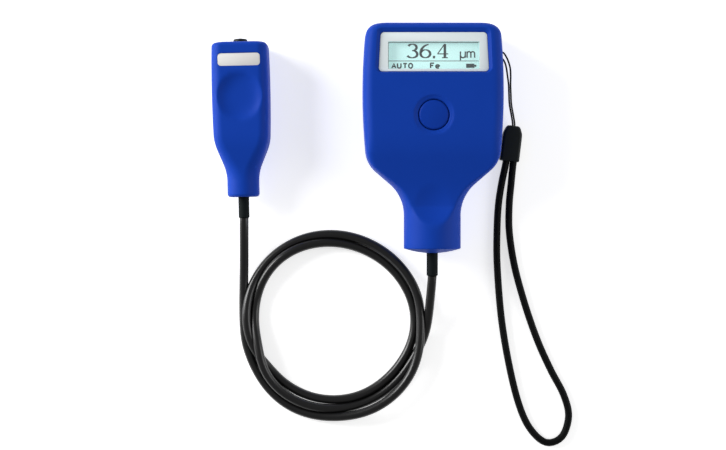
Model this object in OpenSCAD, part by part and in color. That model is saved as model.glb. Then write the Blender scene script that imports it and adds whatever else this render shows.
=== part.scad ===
// Hand-held coating thickness gauge with a corded probe and a wrist strap, lying on its back.
// Millimetres. +Z is up, out of the display, and +Y runs towards the display end.
// The origin is on the gauge's back face, close to the middle of its length.

/* [Gauge body] */
// Length of the gauge from its display end to the rim of its nose
body_len = 98.7; // [95:0.2:106]
// Greatest width of the gauge
body_w = 62; // [60:1:68]
// Depth of the gauge from its back to its front
body_h = 28; // [27:0.5:32]
// Height of the parting plane above the back
part_z = 13.2; // [13:0.1:14.4]
// Thickness of the moulded walls
wall = 2; // [1.6:0.1:2.4]
// Radius of the bow in the long sides
side_bow_r = 280; // [200:10:500]
// Place of the greatest width along the gauge
wide_y = 20; // [14:1:24]
// Corner radius of the display end, seen from the front
corner_r = 5.5; // [4:0.5:8]
// Rounding of the long edges
edge_r = 4.5; // [3:0.5:6]
// Rounding of the display end's edges
end_r = 4; // [3:0.5:6]
// Draft of the side walls in degrees
draft = 2; // [0:0.5:4]

/* [Neck and nose] */
// Radius of the round nose
nose_r = 12.6; // [11.5:0.1:12.9]
// Place along the gauge where the shoulders begin
shoulder_y = -6.4; // [-7:0.1:-2]
// Radius of the rounded shoulders
shoulder_r = 12.6; // [10:0.2:15]
// Radius of the hollow between neck and nose
throat_r = 18.4; // [15:0.2:21]
// Steepest angle of the shoulders in degrees
shoulder_angle = 49; // [44:1:54]
// Height of the crown on the nose's end face
nose_crown = 1.9; // [0.5:0.1:2.6]
// Rounding of the nose's rim
rim_r = 0.6; // [0.3:0.1:1]
// Place along the gauge where the front begins to dip
scoop_start = 3; // [0:1:6]
// Place along the gauge of the lowest point of the dip
scoop_low = -28; // [-30:1:-24]
// Depth of the dip under the front
scoop_depth = 6.2; // [3:0.2:7]
// Distance from the nose's rim to the tip of the dip
tongue_gap = 10.5; // [8:0.5:13]
// Depth of the thumb hollow in the dip
hollow_depth = 0.8; // [0:0.1:1.4]
// Width of the thumb hollow
hollow_w = 17; // [14:0.5:20]
// Length of the thumb hollow
hollow_l = 20; // [14:0.5:22]

/* [Display] */
// Width of the display lens
lens_w = 47; // [42:0.5:50]
// Height of the display lens
lens_h = 17; // [15:0.5:18]
// Thickness of the display lens
lens_t = 1.1; // [0.8:0.1:1.5]
// Distance from the display end to the middle of the lens
lens_in = 13; // [12:0.5:14]
// Depth of the lens under the front
recess_depth = 1.2; // [0.6:0.1:1.6]
// Slope of the recess walls, measured across
recess_flare = 1.3; // [0.5:0.1:1.6]
// How much wider the slope is above the lens than below it, halved
recess_shift = 0.9; // [0:0.1:1.2]
// How much wider the lens is at its lower edge than at its upper edge
lens_taper = 1.8; // [0:0.2:2.4]
// Width of the window behind the lens
view_w = 40; // [36:0.5:41]
// Height of the window behind the lens
view_h = 12.4; // [10:0.2:13]
// Distance from the display end to the middle of the window
view_in = 14.5; // [13.5:0.5:15]
// Width of the LCD panel
lcd_w = 44; // [42:0.5:46]
// Height of the LCD panel
lcd_h = 15; // [14:0.5:16]
// Thickness of the LCD panel
lcd_t = 2.6; // [2:0.1:3]

/* [Button and board] */
// Diameter of the push button
button_d = 12.9; // [11:0.1:14]
// Distance from the display end to the button's axis
button_in = 40.3; // [38:0.1:41.5]
// Travel of the button
button_travel = 0.6; // [0.3:0.1:0.8]
// Diameter of the shallow dish round the button
dish_d = 17.8; // [16:0.2:20]
// Depth of the dish
dish_depth = 0.5; // [0.2:0.1:0.8]
// Gap between the battery bay's roof and the board
board_lift = 2.1; // [0.5:0.1:2.4]
// Thickness of the board
board_t = 1.6; // [1:0.1:1.8]
// Width of the tact switch
switch_w = 6; // [5:0.5:8]
// Height of the tact switch
switch_h = 2.5; // [2.2:0.1:3.2]
// Diameter of the switch plunger
plunger_d = 3.4; // [2.5:0.1:4]

/* [Battery bay] */
// Diameter of a cell
cell_d = 10.5; // [10:0.1:10.6]
// Length of a cell
cell_len = 44.5; // [43:0.1:44.8]
// Distance from the display end to the middle of the two cells
cell_in = 17.3; // [16.5:0.1:18.5]
// Length of the bay, across the gauge
bay_len = 50; // [49.5:0.1:51]
// Thickness of the battery door
door_t = 1.8; // [1.4:0.1:2]
// Thickness of the bay's own walls
bay_wall = 1.2; // [1:0.1:1.4]
// Thickness of the contact plates
plate_t = 0.5; // [0.3:0.1:0.6]

/* [Strap] */
// Diameter of the wrist loop
band_d = 3.2; // [2.6:0.1:3.4]
// Diameter of the string
string_d = 0.8; // [0.6:0.1:0.9]
// Diameter of the two holes of the strap eye
eye_d = 1.4; // [1.3:0.1:1.6]
// Distance between the two holes of the strap eye
eye_pitch = 2.7; // [2.5:0.1:3]
// Length of the clasp
clasp_len = 16; // [14:0.5:18]
// Width of the clasp at the wrist loop
clasp_w = 8.7; // [8.4:0.1:9]
// Width of the clasp at the string
clasp_top_w = 6.5; // [6:0.1:8]
// Thickness of the clasp
clasp_t = 6; // [5:0.2:6.6]

/* [Probe] */
// Length of the probe's housing
probe_len = 68.2; // [66:0.2:75]
// Greatest width of the probe
probe_w = 25.5; // [24.5:0.5:28]
// Depth of the probe from its back to its front
probe_h = 21; // [20:0.5:24]
// Radius of the probe's neck
probe_neck_r = 7.1; // [6.4:0.1:7.6]
// Place of the probe's greatest width, from its cable end
probe_wide_y = 48; // [40:1:56]
// Radius of the bow in the probe's sides
probe_bow_r = 600; // [300:20:900]
// Place where the probe's shoulders begin, from its cable end
probe_shoulder_y = 27.7; // [27:0.1:30]
// Radius of the probe's rounded shoulders
probe_shoulder_r = 21; // [18:0.5:24]
// Radius of the hollow between the probe's shoulders and neck
probe_throat_r = 21; // [18:0.5:24]
// Steepest angle of the probe's shoulders in degrees
probe_shoulder_angle = 21.5; // [19:0.5:25]
// Corner radius of the probe's tip end, seen from the front
probe_corner_r = 2; // [1.9:0.1:4]
// Rounding of the tip end's edges
probe_end_r = 2.2; // [1.9:0.1:4]
// Rounding of the probe's long edges
probe_edge_r = 4.5; // [3:0.1:5]
// Rounding of the rim at the cable end
probe_rim_r = 1.4; // [0.6:0.1:2]
// Thickness of the probe's walls
probe_wall = 1.8; // [1.4:0.1:2]
// Depth of the thumb dent
dent_depth = 1.8; // [1:0.1:2.6]
// Width of the thumb dent
dent_w = 20; // [16:0.5:22]
// Length of the thumb dent
dent_l = 21; // [18:0.5:24]
// Width of the label
label_w = 18.5; // [14:0.1:19]
// Height of the label
label_h = 5.5; // [4:0.1:6]
// Diameter of the tip sleeve
tip_d = 6.2; // [5.4:0.1:6.6]
// Reach of the tip sleeve out of the probe
tip_out = 2; // [1.9:0.1:3]
// Travel of the tip into the probe
tip_travel = 1.5; // [0.8:0.1:1.6]
// Turn of the probe as it lies, in degrees
probe_turn = 1.24; // [0:0.01:2]

/* [Cable] */
// Diameter of the cable
cable_d = 4; // [3.4:0.1:4.2]
// Diameter of the gauge's strain relief sleeve
gauge_sleeve_d = 5; // [4.4:0.1:5.4]
// Diameter of the probe's strain relief sleeve
probe_sleeve_d = 4.8; // [4.4:0.1:5.2]
// Length of the gauge's sleeve
gauge_sleeve_len = 10; // [8:0.5:10.5]
// Length of the probe's sleeve
probe_sleeve_len = 9.3; // [8:0.1:10]

/* [Fits] */
// Gap round a piece that is laid in its seat
seat_gap = 0.1; // [0.05:0.01:0.2]
// Radial gap of a sliding fit
slide_gap = 0.05; // [0.02:0.01:0.08]
// Gap beside a piece that moves freely
free_gap = 0.3; // [0.25:0.05:0.4]

/* [Hidden] */
$fn = 48;
blue = "#1f3f9f";
black = "#1c1c1e";
metal = "#b9bcc0";
brass = "#c9a85a";
board_green = "#2d6a45";
display_share = 0.5015;
y_end = body_len * display_share;
y_nose = y_end - body_len;
front_in = body_h - wall;
cut = 1;
lens_y = y_end - lens_in;
view_y = y_end - view_in;
button_y = y_end - button_in;
cell_y = y_end - cell_in;

// Points round half a section, and the rings of a nose: share of the radius and share of the rim's rounding
arc_n = 5;
front_n = 8;
rear_n = 2;
dome = [[0.4, 0], [0.8, 0], [0.93, 0], [0.98, 0.35]];

// Easing, arcs and runs of points
function mix(a, b, t) = a + (b - a) * t;
function ease(t) = t <= 0 ? 0 : t >= 1 ? 1 : t * t * (3 - 2 * t);
function arc_drop(r, d) = r - sqrt(max(0, r * r - d * d));
function run(a, b, n) = [for (k = [0:n - 1]) mix(a, b, k / n)];
function round_off(y, r, end) = r > 0 && y > end - r ? arc_drop(r, y - (end - r)) : 0;

// A housing's form is a list, and these functions name its entries
function half_w(f) = f[0];
function wide_at(f) = f[1];
function bow_round(f) = f[2];
function shoulder_at(f) = f[3];
function shoulder_round(f) = f[4];
function throat_round(f) = f[5];
function flank_angle(f) = f[6];
function nose_round(f) = f[7];
function nose_at(f) = f[8];
function end_at(f) = f[9];
function corner_round(f) = f[10];
function end_round(f) = f[11];
function edge_round(f) = f[12];
function crown_of(f) = f[13];
function rim_round(f) = f[14];
function row_counts(f) = f[15];
gauge_form = [body_w / 2, wide_y, side_bow_r, shoulder_y, shoulder_r, throat_r, shoulder_angle, nose_r,
    y_nose, y_end, corner_r, end_r, edge_r, nose_crown, rim_r, [2, 13, 8, 6, 6]];
probe_axis_z = probe_h / 2;
probe_form = [probe_w / 2, probe_wide_y, probe_bow_r, probe_shoulder_y, probe_shoulder_r, probe_throat_r,
    probe_shoulder_angle, probe_neck_r, 0, probe_len, probe_corner_r, probe_end_r, probe_edge_r, 0, probe_rim_r,
    [1, 7, 5, 12, 4]];

// Half the outline's width: a bowed side, a rounded shoulder, a straight flank, a hollow and a straight nose
function start_angle(f) = asin((wide_at(f) - shoulder_at(f)) / bow_round(f));
function shoulder_w(f) = half_w(f) - arc_drop(bow_round(f), wide_at(f) - shoulder_at(f));
function flank_y(f) = shoulder_at(f) - shoulder_round(f) * (sin(flank_angle(f)) - sin(start_angle(f)));
function flank_w(f) = shoulder_w(f) - shoulder_round(f) * (cos(start_angle(f)) - cos(flank_angle(f)));
function throat_w(f) = nose_round(f) + throat_round(f) * (1 - cos(flank_angle(f)));
function throat_y(f) = flank_y(f) - (flank_w(f) - throat_w(f)) / tan(flank_angle(f));
function nose_start(f) = throat_y(f) - throat_round(f) * sin(flank_angle(f));
function convex_w(f, y) = let (s = sin(start_angle(f)) + (shoulder_at(f) - y) / shoulder_round(f))
    shoulder_w(f) - shoulder_round(f) * (cos(start_angle(f)) - sqrt(max(0, 1 - s * s)));
function plan_w(f, y) =
    y >= shoulder_at(f) ? half_w(f) - arc_drop(bow_round(f), y - wide_at(f))
    : y >= flank_y(f) ? convex_w(f, y)
    : y >= throat_y(f) ? flank_w(f) - (flank_y(f) - y) * tan(flank_angle(f))
    : y >= nose_start(f) ? nose_round(f) + arc_drop(throat_round(f), y - nose_start(f))
    : nose_round(f);
function taper(f, y) = min(1, max(0, (shoulder_w(f) - plan_w(f, y)) / (shoulder_w(f) - nose_round(f))))
    * (y < shoulder_at(f) ? 1 : 0);
function slant(f, y) = sqrt(1 + pow((plan_w(f, y + 0.1) - plan_w(f, y - 0.1)) / 0.2, 2));
function skin_w(f, y, t) = plan_w(f, y) - t * slant(f, y) - round_off(y, corner_round(f) - t, end_at(f) - t);
function skin_h(f, y, t, h) = mix(h, nose_round(f), taper(f, y)) - t
    - round_off(y, end_round(f) - t, end_at(f) - t);
function skin_r(f, y, t) = mix(edge_round(f), nose_round(f), taper(f, y)) - t;

// Height of the gauge's dipped front along its length
tongue_tip = y_nose + tongue_gap;
scoop_z = body_h - scoop_depth;
tip_z = part_z + nose_r;
function front_z(y) = y >= scoop_start || y <= tongue_tip ? body_h + cut
    : y >= scoop_low ? mix(body_h, scoop_z, ease((scoop_start - y) / (scoop_start - scoop_low)))
    : mix(scoop_z, tip_z, pow((scoop_low - y) / (scoop_low - tongue_tip), 1.4));

// Share of the way from a thumb hollow's rim to its middle, and the hollows of the gauge's dip and of the probe
function hollow(x, y, w, l) = max(0, 1 - pow(2 * x / w, 2) - pow(2 * y / l, 2));
hollow_in = 0.5;
hollow_y = scoop_low - hollow_in;
neck_hollow = function (x, y) hollow_depth * pow(hollow(x, y - hollow_y, hollow_w, hollow_l), 1.5);
dent_in = 24;
dent_y = probe_len - dent_in;
thumb_dent = function (x, y) let (s = hollow(x, y - dent_y, dent_w, dent_l)) dent_depth * s * (2 - s);

// Half a section: from the right edge of the parting plane over the top to the left edge
function half_section(w, h, r0, clip, dip, y, n) =
    let (
        r = min(r0, h - 0.01, w - 0.01),
        cx = w - (h - r) * tan(draft) - r,
        cz = h - r,
        top = min(h, clip),
        a1 = top >= cz + r * sin(80) ? 80 : asin(max(0.2, (top - cz) / r)),
        xc = cx + r * cos(a1),
        right = concat([[w, 0]], [for (k = [0:arc_n]) let (a = mix(8, a1, k / arc_n))
            [cx + r * cos(a), cz + r * sin(a)]]),
        crest = [for (k = [1:n - 1]) let (x = xc * (1 - 2 * k / n))
            [x, min(top, abs(x) > cx ? cz + sqrt(r * r - pow(abs(x) - cx, 2)) : h) - dip(x, y)]],
        left = [for (k = [len(right) - 1:-1:0]) [-right[k][0], right[k][1]]]
    )
    concat(right, crest, left);

// Places of the sections along a housing, from nose to end
function stations(f) = concat(
    run(nose_at(f) + rim_round(f), mix(nose_at(f), nose_start(f), 0.7), row_counts(f)[0]),
    run(mix(nose_at(f), nose_start(f), 0.7), throat_y(f), row_counts(f)[1]),
    run(throat_y(f), shoulder_at(f), row_counts(f)[2]),
    run(shoulder_at(f), end_at(f) - corner_round(f), row_counts(f)[3]),
    [for (k = [0:row_counts(f)[4]]) end_at(f) - corner_round(f) * (1 - sin(90 * k / row_counts(f)[4]))]);
function inset(f, y, t) = mix(nose_at(f) + t, end_at(f) - t, (y - nose_at(f)) / (end_at(f) - nose_at(f)));

// Rings of a skin that lies t inside the outer form, with its domed nose first
function ring(f, y, t, h, clip, dip, n) = half_section(skin_w(f, y, t), skin_h(f, y, t, h), skin_r(f, y, t),
    clip(y) - t, dip, y, n);
function nose_ring(f, s, t, h, clip, dip, n) =
    let (y = nose_at(f) + t + s[1] * rim_round(f) - crown_of(f) * (1 - s[0] * s[0]))
    [for (p = ring(f, nose_at(f) + t, t, h, clip, dip, n)) [p[0] * s[0], y, p[1] * s[0]]];
function skin(f, t, h, clip, dip, n) = concat(
    [for (s = dome) nose_ring(f, s, t, h, clip, dip, n)],
    [for (y0 = stations(f)) let (y = inset(f, y0, t))
        [for (p = ring(f, y, t, h, clip, dip, n)) [p[0], y, p[1]]]]);
flat = function (x, y) 0;

// The solid of a half skin, closed by the parting plane
module half_solid(rings) {
    rows = len(rings);
    cols = len(rings[0]);
    points = [for (r = rings) for (p = r) p];
    side = [for (i = [0:rows - 2]) for (j = [0:cols - 2])
        let (a = i * cols + j, b = a + 1, c = b + cols, d = a + cols) each [[a, b, c], [a, c, d]]];
    nose_cap = [[for (j = [cols - 1:-1:0]) j]];
    end_cap = [[for (j = [0:cols - 1]) (rows - 1) * cols + j]];
    base = [concat([for (i = [0:rows - 1]) i * cols], [for (i = [rows - 1:-1:0]) i * cols + cols - 1])];
    polyhedron(points, concat(side, nose_cap, end_cap, base));
}

// A half shell: outer skin, inner skin and the flat rim that joins them in the parting plane
module half_shell(outer, inner) {
    rows = len(outer);
    cols = len(outer[0]);
    n = rows * cols;
    last = (rows - 1) * cols;
    points = concat([for (r = outer) for (p = r) p], [for (r = inner) for (p = r) p]);
    out_side = [for (i = [0:rows - 2]) for (j = [0:cols - 2])
        let (a = i * cols + j, b = a + 1, c = b + cols, d = a + cols) each [[a, b, c], [a, c, d]]];
    in_side = [for (t = out_side) [t[2] + n, t[1] + n, t[0] + n]];
    caps = [[for (j = [cols - 1:-1:0]) j], [for (j = [0:cols - 1]) last + j],
        [for (j = [0:cols - 1]) n + j], [for (j = [cols - 1:-1:0]) n + last + j]];
    rim_sides = [for (i = [0:rows - 2]) let (a = i * cols, b = a + cols, c = a + cols - 1, d = b + cols - 1)
        each [[a, b, b + n], [a, b + n, a + n], [c, c + n, d + n], [c, d + n, d]]];
    rim_ends = [[0, n, n + cols - 1, cols - 1], [last, last + cols - 1, n + last + cols - 1, n + last]];
    polyhedron(points, concat(out_side, in_side, caps, rim_sides, rim_ends));
}

// A smooth path through a cord's points
function spline(p, i, t) = let (a = p[max(0, i - 1)], b = p[i], c = p[i + 1], d = p[min(len(p) - 1, i + 2)])
    b + 0.5 * t * (c - a + t * (2 * a - 5 * b + 4 * c - d + t * (3 * (b - c) + d - a)));
function smooth(p, n) = [for (i = [0:len(p) - 2]) for (k = [0:n - 1]) spline(p, i, k / n), p[len(p) - 1]];
function unit(v) = v / norm(v);
function heading(p, i) = unit(p[min(len(p) - 1, i + 1)] - p[max(0, i - 1)]);

// A round tube swept along a path
module tube(path, d, sides = 8, up = [0, 0, 1]) {
    rows = len(path);
    points = [for (i = [0:rows - 1]) let (t = heading(path, i), u = unit(cross(t, up)), v = cross(u, t))
        for (k = [0:sides - 1]) let (a = 360 * k / sides) path[i] + d / 2 * (cos(a) * u + sin(a) * v)];
    side = [for (i = [0:rows - 2]) for (k = [0:sides - 1])
        let (a = i * sides + k, b = i * sides + (k + 1) % sides, c = b + sides, e = a + sides)
        each [[a, b, c], [a, c, e]]];
    caps = [[for (k = [sides - 1:-1:0]) k], [for (k = [0:sides - 1]) (rows - 1) * sides + k]];
    polyhedron(points, concat(side, caps));
}

// A coil spring along +Z, from radius r0 to r1, with its two end turns closed flat
function coil_path(r0, r1, length, wire, turns, steps) = [for (k = [0:turns * steps])
    let (t = k / (turns * steps), a = 360 * k / steps, r = mix(r0, r1, t),
        rise = min(1, max(0, (t * turns - 0.8) / (turns - 1.6))))
    [r * cos(a), r * sin(a), wire / 2 + rise * (length - wire)]];
module coil_spring(r0, r1, length, wire, turns) {
    tube(coil_path(r0, r1, length, wire, turns, 8), wire, 6);
}

// Plates with rounded corners
module rounded_rect(w, h, r) {
    for (x = [-1, 1]) for (y = [-1, 1]) translate([x * (w / 2 - r), y * (h / 2 - r)]) circle(r);
    square([w - 2 * r, h], center = true);
    square([w, h - 2 * r], center = true);
}
module rounded_plate(w, h, t, r) {
    linear_extrude(t) rounded_rect(w, h, r);
}
module block(x0, x1, y0, y1, z0, z1) {
    translate([x0, y0, z0]) cube([x1 - x0, y1 - y0, z1 - z0]);
}
module along_y(r, y0, y1, z) {
    translate([0, y0, z]) rotate([-90, 0, 0]) cylinder(r = r, h = y1 - y0);
}
module along_x(r, x0, x1, y, z) {
    translate([x0, y, z]) rotate([0, 90, 0]) cylinder(r = r, h = x1 - x0);
}

// Screws and the posts that take them
screw_r = 1.1;
screw_head_r = 2.3;
screw_head_h = 2;
post_r = 3.1;
screw_sink = 6;
screw_x = 23.5;
screw_in = 36.5;
neck_screw_x = 5.5;
neck_screw_in = 25.4;
screw_at = [for (s = [1, -1])
    each [[s * screw_x, y_end - screw_in], [s * neck_screw_x, y_nose + neck_screw_in]]];
post_foot = 1.4;
board_post_r = 2;
board_post_x = 24;
board_post_in = 28.5;
low_post_x = 14;
low_post_in = 2.5;
board_post_at = [for (s = [1, -1])
    each [[s * board_post_x, y_end - board_post_in], [s * low_post_x, shoulder_y + low_post_in]]];
screw_bite = 5;

front_clip = function (y) front_z(y) - part_z;
no_clip = function (y) body_h;

// Display seat: the ledge under the lens and the opening behind it
lens_r = 1.6;
ledge_t = 1.2;
lens_top = body_h - recess_depth;
lens_z = lens_top - lens_t;
ledge_z = lens_z - ledge_t;
frame_rim = 2.2;
button_r = button_d / 2;
flange_r = button_r + 1.2;
flange_t = 1;
dish_slope = 1.2;
flange_z = min(body_h, front_z(button_y - flange_r)) - wall - free_gap - flange_t;
module lens_plate(grow, r, t) {
    linear_extrude(t) hull() for (x = [-1, 1]) for (y = [-1, 1])
        translate([x * (lens_w / 2 - y * lens_taper / 4 + grow - r), y * (lens_h / 2 + grow - r)]) circle(r);
}
module lens_recess() {
    skin_t = 0.01;
    hull() {
        lens_plate(0, lens_r, skin_t);
        translate([0, recess_shift, recess_depth])
            lens_plate(recess_flare, lens_r + recess_flare, skin_t, $fn = 32);
    }
}

module front_case() {
    color(blue) difference() {
        union() {
            translate([0, 0, part_z]) half_shell(
                skin(gauge_form, 0, body_h - part_z, front_clip, neck_hollow, front_n),
                skin(gauge_form, wall, body_h - part_z, front_clip, neck_hollow, front_n));
            translate([0, lens_y, ledge_z])
                rounded_plate(lens_w + 2 * frame_rim, lens_h + 2 * frame_rim, front_in + wall / 4 - ledge_z,
                    lens_r);
            for (p = screw_at) translate([p[0], p[1], part_z])
                cylinder(r = post_r, h = min(front_z(p[1]), body_h) - wall / 2 - part_z);
            for (p = board_post_at) translate([p[0], p[1], board_z])
                cylinder(r = board_post_r, h = min(front_z(p[1]), body_h) - wall / 2 - board_z);
        }
        translate([0, lens_y, lens_top]) lens_recess();
        translate([0, lens_y, lens_z]) lens_plate(seat_gap, lens_r, body_h);
        translate([0, view_y, part_z]) rounded_plate(view_w, view_h, body_h, 0.5);
        translate([0, button_y, part_z]) cylinder(r = button_r + free_gap, h = body_h);
        translate([0, button_y, body_h - dish_depth])
            cylinder(r1 = dish_d / 2 - dish_slope, r2 = dish_d / 2, h = dish_depth);
        for (p = screw_at) translate([p[0], p[1], part_z - cut])
            cylinder(r = screw_r + slide_gap, h = screw_bite + 2 * cut);
        along_y(gauge_sleeve_d / 2 + seat_gap, y_nose - nose_crown - cut, y_nose + wall + cut, part_z);
    }
}

// Battery bay in the rear case
cell_pitch = cell_d + 0.6;
bay_w = 2 * cell_d + 2.4;
door_lift = 0.4;
cell_z = door_t + door_lift + cell_d / 2;
bay_top = cell_z + cell_d / 2 + door_lift;
board_z = bay_top + bay_wall + board_lift + board_t;
door_room = door_t + free_gap;
floor_top = door_room + bay_wall;
bay_y0 = cell_y - bay_w / 2;
bay_y1 = cell_y + bay_w / 2;
rail_reach = 1.2;
rail_lip = 0.8;
door_half = bay_len / 2 + 1;
rail_half = door_half + rail_reach;
door_y0 = bay_y0 - 2;
rail_in = 1;
rail_y1 = bay_y1 + rail_in;
eye_in = 12;
eye_y = y_end - eye_in;
eye_z = 9;

// Rear half behind the shoulders as a solid, set in from the outside
module rear_solid(inset) {
    translate([0, 0, part_z]) mirror([0, 0, 1]) half_solid([
        for (r = skin(gauge_form, inset, part_z, no_clip, flat, rear_n)) if (r[0][1] > shoulder_y) r]);
}

module rear_case() {
    color(blue) difference() {
        union() {
            translate([0, 0, part_z]) mirror([0, 0, 1]) half_shell(
                skin(gauge_form, 0, part_z, no_clip, flat, rear_n),
                skin(gauge_form, wall, part_z, no_clip, flat, rear_n));
            intersection() {
                rear_solid(wall / 2);
                block(-rail_half - bay_wall, rail_half + bay_wall, door_y0 - bay_wall, y_end, 0, floor_top);
            }
            block(-bay_len / 2 - bay_wall, bay_len / 2 + bay_wall, bay_y0 - bay_wall, bay_y1 + bay_wall, wall,
                bay_top + bay_wall);
            for (p = screw_at) translate([p[0], p[1], post_foot])
                cylinder(r = post_r, h = part_z - post_foot);
        }
        block(-bay_len / 2, bay_len / 2, bay_y0, bay_y1, -cut, bay_top);
        block(-door_half - free_gap, door_half + free_gap, door_y0 - free_gap, y_end + cut, -cut, door_room);
        block(-rail_half - free_gap, rail_half + free_gap, door_y0 - free_gap, y_end + cut, rail_lip,
            door_room);
        for (p = screw_at) translate([p[0], p[1], -cut]) {
            cylinder(r = screw_r + slide_gap, h = part_z + 2 * cut);
            cylinder(r = screw_head_r + seat_gap, h = screw_sink + cut);
        }
        for (s = [-1, 1])
            along_x(eye_d / 2, body_w / 2 - 2 * wall - 0.6, body_w / 2 + cut, eye_y + s * eye_pitch / 2, eye_z);
        along_y(gauge_sleeve_d / 2 + seat_gap, y_nose - nose_crown - cut, y_nose + wall + cut, part_z);
    }
}

// Battery door: a slice of the back with a rail along each side and thumb grooves
groove_n = 4;
groove_pitch = 2.2;
groove_w = 1;
groove_len = 20;
groove_in = 4;
module battery_door() {
    color(blue) difference() {
        union() {
            intersection() {
                rear_solid(0);
                block(-door_half, door_half, door_y0, y_end + cut, -cut, door_t);
            }
            block(-rail_half, rail_half, door_y0 + rail_in, rail_y1, rail_lip + free_gap, door_t);
        }
        for (k = [0:groove_n - 1])
            translate([-groove_len / 2, y_end - end_r - groove_in - k * groove_pitch, -groove_w / 2])
                rotate([45, 0, 0]) cube([groove_len, groove_w, groove_w]);
    }
}

module display_lens() {
    color("#d7e2e6", 0.5) translate([0, lens_y, lens_z]) lens_plate(0, lens_r, lens_t);
}

// LCD panel and the frame that holds it on the board
lcd_top = ledge_z - free_gap;
lcd_z = lcd_top - lcd_t;
lcd_rim = 1.2;
lcd_ledge = 1.5;
module lcd_panel() {
    color("#c8f2f0") translate([0, view_y, lcd_z]) rounded_plate(lcd_w, lcd_h, lcd_t, 0.4);
}
module lcd_frame() {
    color("white") difference() {
        translate([0, view_y, board_z])
            rounded_plate(lcd_w + 2 * lcd_rim, lcd_h + 2 * lcd_rim, lcd_z + lcd_t / 2 - board_z, 1);
        translate([0, view_y, lcd_z]) rounded_plate(lcd_w + 2 * seat_gap, lcd_h + 2 * seat_gap, lcd_t, 0.4);
        translate([0, view_y, board_z - cut])
            rounded_plate(lcd_w - 2 * lcd_ledge, lcd_h - 2 * lcd_ledge, lcd_t + board_z, 0.4);
    }
}

// Main board: the inside outline of the body, with notches for the screw posts
board_gap = 1.2;
notch_gap = 0.5;
board_y0 = shoulder_y - 1;
function board_half(y) = plan_w(gauge_form, y) - wall - board_gap - (body_h - part_z) * tan(draft);
board_ys = [for (k = [0:8]) mix(board_y0, y_end - wall - corner_r, k / 8)];
module main_board() {
    color(board_green) difference() {
        translate([0, 0, board_z - board_t]) linear_extrude(board_t) polygon(concat(
            [for (y = board_ys) [board_half(y), y]],
            [for (k = [len(board_ys) - 1:-1:0]) [-board_half(board_ys[k]), board_ys[k]]]));
        for (p = screw_at) translate([p[0], p[1], part_z]) {
            cylinder(r = post_r + notch_gap, h = body_h);
            translate([p[0] > 0 ? 0 : -body_w, -post_r - notch_gap, 0])
                cube([body_w, 2 * (post_r + notch_gap), body_h]);
        }
    }
}

// Push button: a crowned cap, a flange that keeps it in the case and a stem on the switch
cap_crown = 0.3;
cap_z = body_h - dish_depth;
switch_top = board_z + switch_h;
plunger_out = 1;
stem_r = 2.4;
plunger_top = switch_top + plunger_out;
plunger_in = 1.2;
cap_edge = 0.3;
cap_face = [for (k = [0:5]) let (s = k / 5) [s * (button_r - cap_edge), cap_z + cap_crown * (1 - s * s)]];
module push_button() {
    color(blue) translate([0, button_y, 0]) rotate_extrude() polygon(concat(cap_face, [
        [button_r, cap_z - cap_edge], [button_r, flange_z + flange_t], [flange_r, flange_z + flange_t],
        [flange_r, flange_z], [stem_r, flange_z], [stem_r, plunger_top], [0, plunger_top]]));
}
module tact_switch() {
    color("#2a2a2c") translate([0, button_y, board_z]) difference() {
        translate([-switch_w / 2, -switch_w / 2, 0]) cube([switch_w, switch_w, switch_h]);
        translate([0, 0, switch_h - plunger_in - button_travel - free_gap])
            cylinder(r = plunger_d / 2 + slide_gap, h = switch_h);
    }
}
module switch_plunger() {
    color("#8a2f2a") translate([0, button_y, switch_top - plunger_in])
        cylinder(r = plunger_d / 2, h = plunger_in + plunger_out);
}

// Cells, contact plates and contact springs
nub_r = 2.4;
nub_h = 1;
spring_wire = 0.6;
contact_x = bay_len / 2 - plate_t;
spring_len = 2 * contact_x - cell_len;
module cell() {
    translate([-contact_x + spring_len, 0, 0]) rotate([0, 90, 0]) cylinder(d = cell_d, h = cell_len - nub_h);
    translate([contact_x - nub_h, 0, 0]) rotate([0, 90, 0]) cylinder(r = nub_r, h = nub_h);
}
module at_upper_cell() {
    translate([0, cell_y + cell_pitch / 2, cell_z]) children();
}
module at_lower_cell() {
    translate([0, cell_y - cell_pitch / 2, cell_z]) rotate([0, 0, 180]) children();
}
module contact_plate(h) {
    translate([contact_x, -cell_d / 2 + 1, -cell_d / 2 + 1]) cube([plate_t, h, cell_d - 2]);
}
module contact_spring() {
    translate([-contact_x, 0, 0]) rotate([0, 90, 0])
        coil_spring(cell_d / 2 - 1.4, nub_r, spring_len, spring_wire, 4);
}
module battery_upper() {
    color("#3a3f46") at_upper_cell() cell();
}
module battery_lower() {
    color("#3a3f46") at_lower_cell() cell();
}
module plus_plate() {
    color(metal) at_upper_cell() contact_plate(cell_d - 2);
}
module minus_plate() {
    color(metal) translate([2 * contact_x + plate_t, 0, 0]) at_lower_cell() contact_plate(cell_d - 2);
}
module bridge_plate() {
    color(metal) at_lower_cell() mirror([0, 1, 0]) contact_plate(cell_d - 2 + cell_pitch);
}
module minus_spring() {
    color(metal) at_lower_cell() contact_spring();
}
module bridge_spring() {
    color(metal) at_upper_cell() contact_spring();
}

module screw(length) {
    cylinder(r = screw_head_r, h = screw_head_h);
    cylinder(r = screw_r, h = length);
}
module case_screws() {
    color(metal) for (p = screw_at) translate([p[0], p[1], screw_sink - screw_head_h])
        screw(part_z + screw_bite - screw_sink + screw_head_h);
}

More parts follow.
